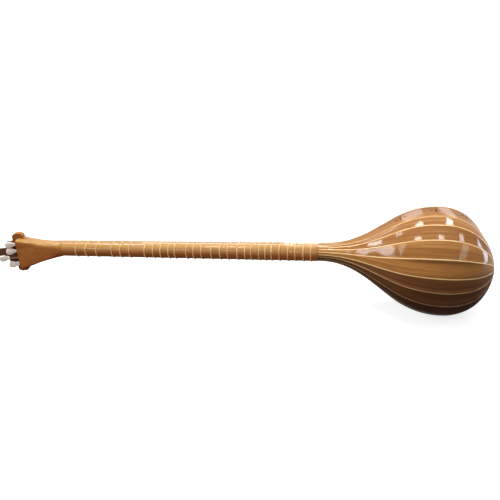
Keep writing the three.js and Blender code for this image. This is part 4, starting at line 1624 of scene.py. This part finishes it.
@dataclass
class Tuners:
    """Four keys with their worms, and four posts with their wheels and windings."""

    shop: Workshop
    head: Head
    key_heights: Row = (18.6, 6.2, -6.2, -18.6)
    key_extra: Row = (0, 0, 14.5, 0)
    post_shares: Row = (1, 0.3, 0.66, 1)
    wheel_room: float = 5.0
    teeth: int = 12
    pitch: float = 2.0
    worm_radius: float = 2.4
    worm_core: float = 1.2
    worm_turns: int = 3
    top_share: float = 0.25
    root_share: float = 0.55
    tooth: float = 1.2
    wheel_thickness: float = 3.0
    spacing: float = 5.8
    shaft: float = 1.5
    stem: float = 2.7
    button_length: float = 19.0
    button_width: float = 11.6
    button_thickness: float = 7.0
    button_power: float = 0.8
    button_close: float = 0.8
    button_shares: Row = (0.42, 0.48, 0.57, 0.7, 0.86, 0.97, 1.0, 1.0, 0.97, 0.88, 0.66)
    post_radius: float = 2.0
    post_collar: float = 2.6
    post_rise: float = 13.0
    winding_rise: float = 6.35
    winding_turns: float = 4.5
    winding_gap: float = 0.02
    winding_pitch: float = 2.05
    winding_below: float = 0.45
    winding_steps: int = 28
    thread_sink: float = 0.3
    worm_nose: tuple[float, float] = (0.4, 0.8)
    worm_lap: float = 1.0
    collar_gap: float = 0.3
    inner_collar: float = 2.25
    inner_collar_reach: tuple[float, float] = (1.2, 1.6)
    outer_collar: tuple[tuple[float, float], ...] = ((0.3, 2.3), (0.6, 2.6), (1.2, 2.6), (1.5, 2.3))
    button_socket: float = 3.5
    button_opening: float = 0.02

    @property
    def pitch_radius(self) -> float:
        """The wheel's radius where it meets the worm."""
        return self.teeth * self.pitch / (2 * math.pi)

    def posts(self) -> list[Post]:
        """The four tuners' places, in the room between the box's walls.

        Returns:
            The places, from the highest key down.
        """
        head = self.head
        first = head.start + head.length / 4 + self.wheel_room
        last = head.end - head.end_wall - self.wheel_room
        found = []
        for i, z in enumerate(self.key_heights):
            side = 1 if z > 0 else -1
            x = mixed(first, last, self.post_shares[i])
            found.append(Post(i + 1, x, z - side * self.spacing, z, self.key_extra[i], side))
        return found

    def worm_shell(self, post: Post) -> Shell:
        """The worm's thread: a trapezium carried round the shaft, one pitch along at each turn.

        Args:
            post: The tuner's place.

        Returns:
            The closed surface.
        """
        contact = -np.pi / 2 * post.side
        turn = contact + np.linspace(-np.pi, np.pi, 24 * self.worm_turns + 1) * self.worm_turns
        place = post.x + self.pitch * (turn - contact) / (2 * np.pi) + self.pitch / 2
        root, top = self.worm_core - self.thread_sink, self.worm_radius
        shares = (-self.root_share, -self.top_share, self.top_share, self.root_share)
        corners = [points(place + share * self.pitch / 2, self.head.key_depth + r * np.cos(turn),
                          post.key_z + r * np.sin(turn))
                   for share, r in zip(shares, (root, top, top, root))]
        return Shell.from_rings(np.stack(corners, axis=1))

    def spindle_shell(self, post: Post) -> Shell:
        """The shaft with its worm and two collars, as (distance, radius) from end to end.

        Args:
            post: The tuner's place.

        Returns:
            Shaft, core and thread in one.
        """
        wall, half = self.head.end, (self.worm_turns + 1) * self.pitch / 2
        inner, foot = wall - self.head.end_wall - self.collar_gap, post.x + half
        low, lap = (inner - reach for reach in self.inner_collar_reach)
        nose, thin = self.worm_nose
        core = [(post.x - half, thin), (post.x - half + nose, self.worm_core),
                (foot + self.worm_lap, self.worm_core)]
        shaft = [(lap if foot > low else foot, self.shaft), (low, self.shaft),
                 (low, self.inner_collar), (inner, self.inner_collar), (inner, self.shaft),
                 (wall + self.collar_gap, self.shaft)]
        shaft += [(wall + reach, radius) for reach, radius in self.outer_collar]
        shaft += [(wall + self.outer_collar[-1][0], self.shaft),
                  (wall + self.stem + post.extra + self.button_socket, self.shaft)]
        lathe = Shell.joined([turned(core), turned(shaft)])
        lathe = lathe.moved(lambda p: p + [0, self.head.key_depth, post.key_z])
        return Shell.joined([lathe, self.worm_shell(post)])

    def button_shell(self, post: Post) -> Shell:
        """The button: flat oval sections that widen from a thin neck and close in a round end.

        Its fullness along it is a table of shares, closed at the far end by the root of one less
        the square, and each section is cosine and sine raised to a power below 1.

        Args:
            post: The tuner's place.

        Returns:
            The closed surface.
        """
        start = self.head.end + self.stem + post.extra
        t = ((1 - np.cos(np.linspace(0, np.pi - self.button_opening, 34))) / 2)[:, None]
        past = np.clip((t - self.button_close) / (1 - self.button_close), 0, 1)
        close = (1 - past**2) ** 0.5
        full, turn = table_at(self.button_shares, t) * close, whole_turn(32)
        y = self.button_thickness / 2 * full * squared(np.cos(turn), self.button_power)
        z = self.button_width / 2 * full * squared(np.sin(turn), self.button_power)
        return Shell.from_rings(points(start + t * self.button_length, self.head.key_depth + y,
                                       post.key_z + z))

    def wheel_ring(self, post: Post, depth: float, lean: float) -> Array:
        """The wheel's outline: four corners to a tooth, half a tooth inside and outside the pitch.

        Args:
            post: The tuner's place.
            depth: Where the outline lies.
            lean: How far it is turned.

        Returns:
            One ring of points.
        """
        middle = (0 if post.side > 0 else np.pi) + lean + whole_turn(self.teeth)[:, None]
        radius = self.pitch_radius + self.tooth / 2 * np.array([-1, 1, 1, -1])
        width = np.array([-self.root_share, -self.top_share, self.top_share, self.root_share])
        turn = middle + width * self.pitch / 2 / self.pitch_radius
        ring = points(post.x + radius * np.sin(turn), depth, post.z + radius * np.cos(turn))
        return ring.reshape(-1, 3)

    def post_shell(self, post: Post) -> Shell:
        """The post, turned with a waist for the string, and its worm wheel with slanting teeth.

        Args:
            post: The tuner's place.

        Returns:
            Post and wheel in one.
        """
        inside, rise = self.head.depth - self.head.floor, -self.post_rise
        r, c = self.post_radius, self.post_collar
        pin = [(rise, c - 0.5), (rise + 0.25, c - 0.15), (rise + 0.7, c), (rise + 1.2, c),
               (-11, 2.3), (-9.6, 2.05), (-8.5, r), (-4.2, r), (-3.7, 2.15), (-3.2, 2.5), (-3, c),
               (-0.6, c), (-0.3, c - 0.2), (-0.3, r), (inside + 1.7, r), (inside + 2, r - 0.3)]
        slope = self.pitch / (2 * math.pi * (self.spacing - self.pitch_radius))
        lean = self.wheel_thickness / 2 * slope / self.pitch_radius
        top = self.head.key_depth - self.wheel_thickness / 2
        rings = [self.wheel_ring(post, top, -lean),
                 self.wheel_ring(post, top + self.wheel_thickness, lean)]
        return Shell.joined([standing(pin, post.x, post.z), Shell.from_rings(np.stack(rings))])

    def string_side(self, post: Post) -> int:
        """The side of its post on which a string arrives."""
        return -post.side if abs(post.z) > self.post_collar else post.side

    def winding_shell(self, post: Post, radius: float) -> Shell:
        """A string's turns round its post, each a wire's width above the last.

        Args:
            post: The tuner's place.
            radius: Half the string's thickness.

        Returns:
            The closed surface.
        """
        reach, turns = self.post_radius + radius + self.winding_gap, self.winding_turns
        turn = np.linspace(0, 2 * np.pi * turns, int(self.winding_steps * turns))
        step = turn / (2 * np.pi) - turns * self.winding_below
        depth = -self.winding_rise + step * radius * self.winding_pitch
        path = points(post.x + reach * np.sin(turn), depth,
                      post.z + self.string_side(post) * reach * np.cos(turn))
        return wire(path, np.array([0, 1.0, 0]), radius)

    def build(self) -> None:
        """Makes the keys, posts and windings."""
        radii = self.shop.layout.string_radii
        for post, radius, metal in zip(self.posts(), radii, STRING_FINISHES):
            n = post.number
            key, pin = f"tuner_key_{n}", f"tuner_post_{n}"
            self.shop.make(f"tuner_button_{n}", self.button_shell(post), Finish.BUTTON_WHITE,
                           key + "_body", [key])
            # The spindles' dark metal is painted shade
            self.shop.make(f"tuner_spindle_{n}", self.spindle_shell(post), Finish.BRONZE,
                           key + "_body")
            self.shop.make(f"tuner_pin_{n}", self.post_shell(post), Finish.BRASS, pin + "_body",
                           [pin])
            self.shop.make(f"winding_{n}", self.winding_shell(post, radius), metal, pin + "_body")


@dataclass
class Strings:
    """The four strings, the bridge that they cross and the pins that hold them."""

    shop: Workshop
    bowl: Bowl
    tuners: Tuners
    names: tuple[str, ...] = ("bass", "drone", "middle", "treble")
    at_nut: Row = (7.6, 5.4, -1.2, -7.6)
    at_bridge: Row = (13, 10.2, -1.4, -13)
    at_tail: Row = (9, 4, -4, -9)
    bridge_length: float = 54.0
    bridge_height: float = 9.0
    bridge_foot: float = 5.0
    bridge_top: float = 1.6
    bridge_arch: float = 4.6
    bridge_foot_length: float = 13.0
    bridge_arch_run: float = 1.5
    bridge_top_share: float = 2 / 3
    bridge_shoulder_share: float = 1 / 3
    bridge_rounding: Rounding = Rounding(0.35, 2, 50)
    pin_inset: float = 2.2
    loop_start: float = 1.4
    pin_radius: float = 0.65
    pin_profile: tuple[tuple[float, float], ...] = (
        (-1.7, 0.2), (-1.6, 0.6), (-1.3, 0.85), (-1.0, 0.85), (-0.8, 0.55), (0.5, 0.55))

    def bridge_shell(self) -> Shell:
        """The bridge: a thin arch on two feet, narrower at the top.

        Its outline across the soundboard has straight feet, and its shoulders and the arch below
        are eased steps between two heights. Its width along the strings falls evenly with height.

        Returns:
            The closed surface.
        """
        half, seat, full = self.bridge_length / 2, self.shop.layout.seat, self.bridge_height
        t = np.linspace(0, 1, 13)
        shoulder = points(mixed(half, half * self.bridge_top_share, t),
                          -full * mixed(self.bridge_shoulder_share, 1.0, smooth_step(t)))
        back = t[::-1]
        leg = points(half - self.bridge_foot_length * mixed(1.0, self.bridge_arch_run, back),
                     -mixed(seat, self.bridge_arch, smooth_step(back)))
        right = np.concatenate([[(half, -seat)], shoulder])
        outline = np.concatenate([right, right[::-1] * [-1, 1], (leg * [-1, 1])[::-1], leg])

        def face(p: Array, side: int) -> Array:
            """Puts outline points on one of the bridge's two faces."""
            width = mixed(self.bridge_foot, self.bridge_top, -p[:, 1] / full)
            return points(-self.shop.layout.scale_length + side * width / 2, p[:, 1], p[:, 0])

        return Shell.slab(outline, [], lambda p: face(p, -1), lambda p: face(p, 1))

    def string_shell(self, i: int, post: Post) -> Shell:
        """A string: from its pin over the holder, the bridge and the nut to its post.

        Args:
            i: Which string.
            post: Where it ends.

        Returns:
            The straight wire and the loop round its pin.
        """
        layout = self.shop.layout
        radius = layout.string_radii[i]
        lift = radius + layout.string_lift
        reach = self.tuners.string_side(post) * (self.tuners.post_radius + lift)
        end = layout.from_head(np.array([post.x, -self.tuners.winding_rise, post.z + reach]))
        rim = self.bowl.rim_at(np.array(self.at_tail[i])).item()
        scale, top, nut = layout.scale_length, self.bridge_top / 2, layout.nut_width / 2
        low = -self.bowl.holder_rise - lift
        rests = [(rim - self.loop_start, low, self.at_tail[i]), (rim, low, self.at_tail[i]),
                 (-scale - top, -self.bridge_height - lift, self.at_bridge[i]),
                 (-scale + top, -self.bridge_height - lift, self.at_bridge[i]),
                 (-nut, -layout.nut_height - lift, self.at_nut[i]),
                 (nut, -layout.nut_height - lift, self.at_nut[i]), tuple(end)]
        y, z = circle(radius, 12).T
        rings = np.array(rests)[:, None] + points(0, y, z)
        x, z = circle(self.pin_radius + radius, 20, (rim - self.pin_inset, self.at_tail[i])).T
        loop = wire(points(x, low, z), np.array([0, 1.0, 0]), radius, closed=True)
        return Shell.joined([Shell.from_rings(rings), loop])

    def pins_shell(self) -> Shell:
        """The four small pins on the holder, each with a round head.

        Returns:
            All four in one.
        """
        top, pins = -self.bowl.holder_rise, []
        profile = [(top + rise, radius) for rise, radius in self.pin_profile]
        for z in self.at_tail:
            rim = self.bowl.rim_at(np.array(z)).item()
            pins.append(standing(profile, rim - self.pin_inset, z, 16))
        return Shell.joined(pins)

    def build(self) -> None:
        """Makes the bridge, the pins and the strings."""
        self.shop.make("bridge_arch", self.bridge_shell(), Finish.BRIDGE_WOOD, nodes=["bridge"],
                       rounding=self.bridge_rounding)
        self.shop.make("holder_pins", self.pins_shell(), Finish.BRASS)
        for i, post in enumerate(self.tuners.posts()):
            self.shop.make(f"wire_{self.names[i]}", self.string_shell(i, post), STRING_FINISHES[i],
                           nodes=[f"string_{self.names[i]}"])


@dataclass(frozen=True)
class Lamp:
    """A soft rectangular lamp, with its places in metres.

    Args:
        place: Where it stands.
        aim: The x of the point on the instrument that it looks at.
        size: Its width and height.
        power: Its watts.
        aim_side: The y and z of that point.
        colour: Its colour.
    """

    place: tuple[float, float, float]
    aim: float
    size: tuple[float, float]
    power: float
    aim_side: tuple[float, float] = (0, 0.08)
    colour: Colour = (255, 255, 255)

    def build(self, name: str) -> None:
        """Adds the lamp to the scene.

        Args:
            name: The lamp's name.
        """
        data = bpy.data.lights.new(name, "AREA")
        data.shape, data.size, data.size_y = "RECTANGLE", *self.size
        data.energy, data.color = self.power, linear(self.colour)[:3]
        lamp = bpy.data.objects.new(name, data)
        lamp.location = self.place
        ahead = Vector((self.aim, *self.aim_side)) - Vector(self.place)
        lamp.rotation_euler = ahead.to_track_quat("-Z", "Y").to_euler()
        lamp.visible_camera = False
        bpy.context.scene.collection.objects.link(lamp)


@dataclass
class Studio:
    """The pale floor, the lamps and the camera, in metres.

    The small lamps are mirrored in the ribs as windows, two long ones draw the lines along the
    neck, and the ceiling fills the whole from above.
    """

    layout: Layout
    elevation: float = math.radians(20.993)
    swing: float = math.radians(13.515)
    roll: float = math.radians(0.871)
    distance: float = 0.96755
    aim_along: float = 0.01579
    aim_up: float = -0.0016
    lens: float = 41.15
    floor_size: float = 30.0
    wall_distance: float = 5.0
    wall_bend: float = 2.0
    floor_lit: Colour = (190, 190, 190)
    floor_speck: Colour = (182, 182, 182)
    floor_dim: Colour = (100, 97, 94)
    specks: Colour = (30, 30, 30)
    speck_share: float = 0.3
    glow_near: Colour = (226, 226, 226)
    glow_far: Colour = (255, 255, 255)
    glow_from: float = 0.5
    glow_to: float = 1.6
    world_level: float = 0.1
    lamps: tuple[Lamp, ...] = (
        Lamp((-0.32, 0.0, 1.5), -0.32, (0.14, 0.3), 4.5),
        Lamp((0.4, -0.2, 1.5), -0.3, (0.15, 0.2), 3.5),
        Lamp((1.08, -1.04, 1.5), -0.3, (0.42, 0.34), 6.5),
        Lamp((-1.2, -0.26, 1.5), -0.4, (0.25, 0.2), 3.5),
        Lamp((-0.77, -1.74, 1.5), -0.4, (0.25, 0.45), 7.0),
        Lamp((0.15, -1.72, 1.5), -0.3, (0.25, 0.3), 4.5),
        Lamp((3.0, -0.5, 1.5), -0.2, (0.7, 0.5), 20.0),
        Lamp((1.65, 0.16, 1.5), -0.2, (0.35, 0.5), 5.0),
        Lamp((-1.5, 0.65, 1.5), -0.4, (0.9, 0.25), 4.5),
        Lamp((-0.9, -3.06, 0.8), -0.4, (0.55, 0.35), 2.0),
        Lamp((0.15, -3.06, 0.92), -0.3, (0.6, 0.35), 2.2),
        Lamp((1.0, -3.06, 1.2), 1.0, (1.2, 0.14), 2.0),
        Lamp((0.65, 1.41, 1.1), 0.65, (1.3, 0.1), 11.0),
        Lamp((2.1, -1.46, 1.5), -0.2, (0.3, 0.25), 5.5),
        Lamp((2.2, 0.2, 0.9), 0.4, (0.6, 0.6), 5.0),
        Lamp((0.0, -0.2, 2.6), 0.0, (3.0, 3.0), 23.0))
    tail_window: Lamp = Lamp(
        (-1.8, -0.8, 0.38), -0.4, (0.34, 0.74), 12, aim_side=(0, 0.1), colour=(226, 236, 255))

    def floor_material(self) -> bpy.types.Material:
        """The floor: pale and glowing where it is seen, and dim where light only strays.

        Returns:
            The material.
        """
        g = Graph("pale_floor")
        place = g.place()
        speck = g.noise(place, self.specks, detail=3.0)
        colour = g.blended(speck * self.speck_share, linear(self.floor_lit),
                           linear(self.floor_speck))
        lit = g.node("ShaderNodeBsdfDiffuse", {}, {"Color": colour})
        away = g.node("ShaderNodeVectorMath", {"operation": "LENGTH"}, {0: place}, "Value")
        far = ((away - self.glow_from) * (1 / (self.glow_to - self.glow_from))).clipped()
        shine = g.blended(far, linear(self.glow_near), linear(self.glow_far))
        glow = g.node("ShaderNodeEmission", {}, {"Color": shine, "Strength": 1.0})
        both = g.node("ShaderNodeAddShader", {}, {0: lit, 1: glow})
        dim = g.node("ShaderNodeBsdfDiffuse", {}, {"Color": linear(self.floor_dim)})
        g.finish_with(g.node("ShaderNodeMixShader", {}, {0: g.seen(), 1: dim, 2: both}))
        return g.material

    def floor(self) -> None:
        """Makes the floor, which bends up into a wall behind the part by a quarter circle."""
        half, back, bend = self.floor_size / 2, self.wall_distance, self.wall_bend
        turn = np.linspace(0, np.pi / 2, 17)
        depth = np.concatenate([[half], -back - bend * np.sin(turn), [-back - bend]])[:, None]
        rise = np.concatenate([[0], bend * (1 - np.cos(turn)), [half]])[:, None]
        rows = points(np.array([-half, half]), depth, rise)
        i = 2 * np.arange(len(depth) - 1)
        mesh = bpy.data.meshes.new("floor")
        faces = points(i, i + 2, i + 3, i + 1).tolist()
        mesh.from_pydata(rows.reshape(-1, 3).tolist(), [], faces)
        mesh.polygons.foreach_set("use_smooth", np.ones(len(mesh.polygons), bool))
        mesh.materials.append(self.floor_material())
        floor = bpy.data.objects.new("floor", mesh)
        bpy.context.scene.collection.objects.link(floor)

    def world(self) -> None:
        """Makes the world white where it is seen, and a plain low level where it only lights."""
        world = bpy.data.worlds.new("studio")
        sky = Graph("sky", world)
        strength = sky.seen() * (1 - self.world_level) + self.world_level
        background = {"Color": (1, 1, 1, 1), "Strength": strength}
        sky.finish_with(sky.node("ShaderNodeBackground", {}, background), "ShaderNodeOutputWorld")
        bpy.context.scene.world = world

    def camera(self) -> None:
        """Sets the camera at the photograph's angle: raised, swung towards the bowl and rolled."""
        rise_cos, rise_sin = math.cos(self.elevation), math.sin(self.elevation)
        cos, sin = math.cos(self.swing), math.sin(self.swing)
        flat = Vector((-cos, -rise_cos * sin, -rise_sin * sin))
        rise = Vector((0, -rise_sin, rise_cos))
        right = math.cos(self.roll) * flat + math.sin(self.roll) * rise
        up = -math.sin(self.roll) * flat + math.cos(self.roll) * rise
        back = Vector((-sin, rise_cos * cos, rise_sin * cos))
        half_way = np.array([-self.layout.scale_length / 2, 0, 0])
        middle = Vector(self.layout.in_frame(half_way).tolist())
        data = bpy.data.cameras.new("camera")
        data.lens, data.sensor_width = self.lens, 36.0
        camera = bpy.data.objects.new("camera", data)
        place = middle + self.aim_along * right + self.aim_up * up + self.distance * back
        turn = Matrix((right, up, back)).transposed().to_4x4()
        camera.matrix_world = Matrix.Translation(place) @ turn
        bpy.context.scene.collection.objects.link(camera)
        bpy.context.scene.camera = camera

    def build(self) -> None:
        """Sets up the camera, the backdrop and the lamps."""
        self.camera()
        self.floor()
        self.world()
        for i, lamp in enumerate(self.lamps):
            lamp.build(f"lamp_{i}")
        self.tail_window.build("tail_window")
        bpy.context.scene.view_settings.view_transform = "Standard"


def corners(bounds: tuple[Vector, Vector]) -> list[list[float]]:
    """A box's two corners as plain lists."""
    return [list(corner) for corner in bounds]


def main() -> None:
    """Builds the instrument around the frame."""
    logging.basicConfig(level=logging.INFO, format="%(name)s: %(message)s")
    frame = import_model()
    layout = Layout.from_frame()
    Studio(layout).build()
    shop = Workshop(layout)
    head_shop = replace(shop, tilted=True)
    bowl, head = Bowl(shop), Head(head_shop)
    tuners = Tuners(head_shop, head)
    bowl.build()
    Neck(shop).build()
    head.build(tuners.posts())
    tuners.build()
    Strings(shop, bowl, tuners).build()
    for name in ("neck_block", "end_block"):
        node = frame["nodes"][name]
        node.data.materials.clear()
        node.data.materials.append(shop.finish(Finish.BLOCK_WOOD))
        LOG.info("%s keeps its solid", name)


if __name__ == "__main__":
    main()
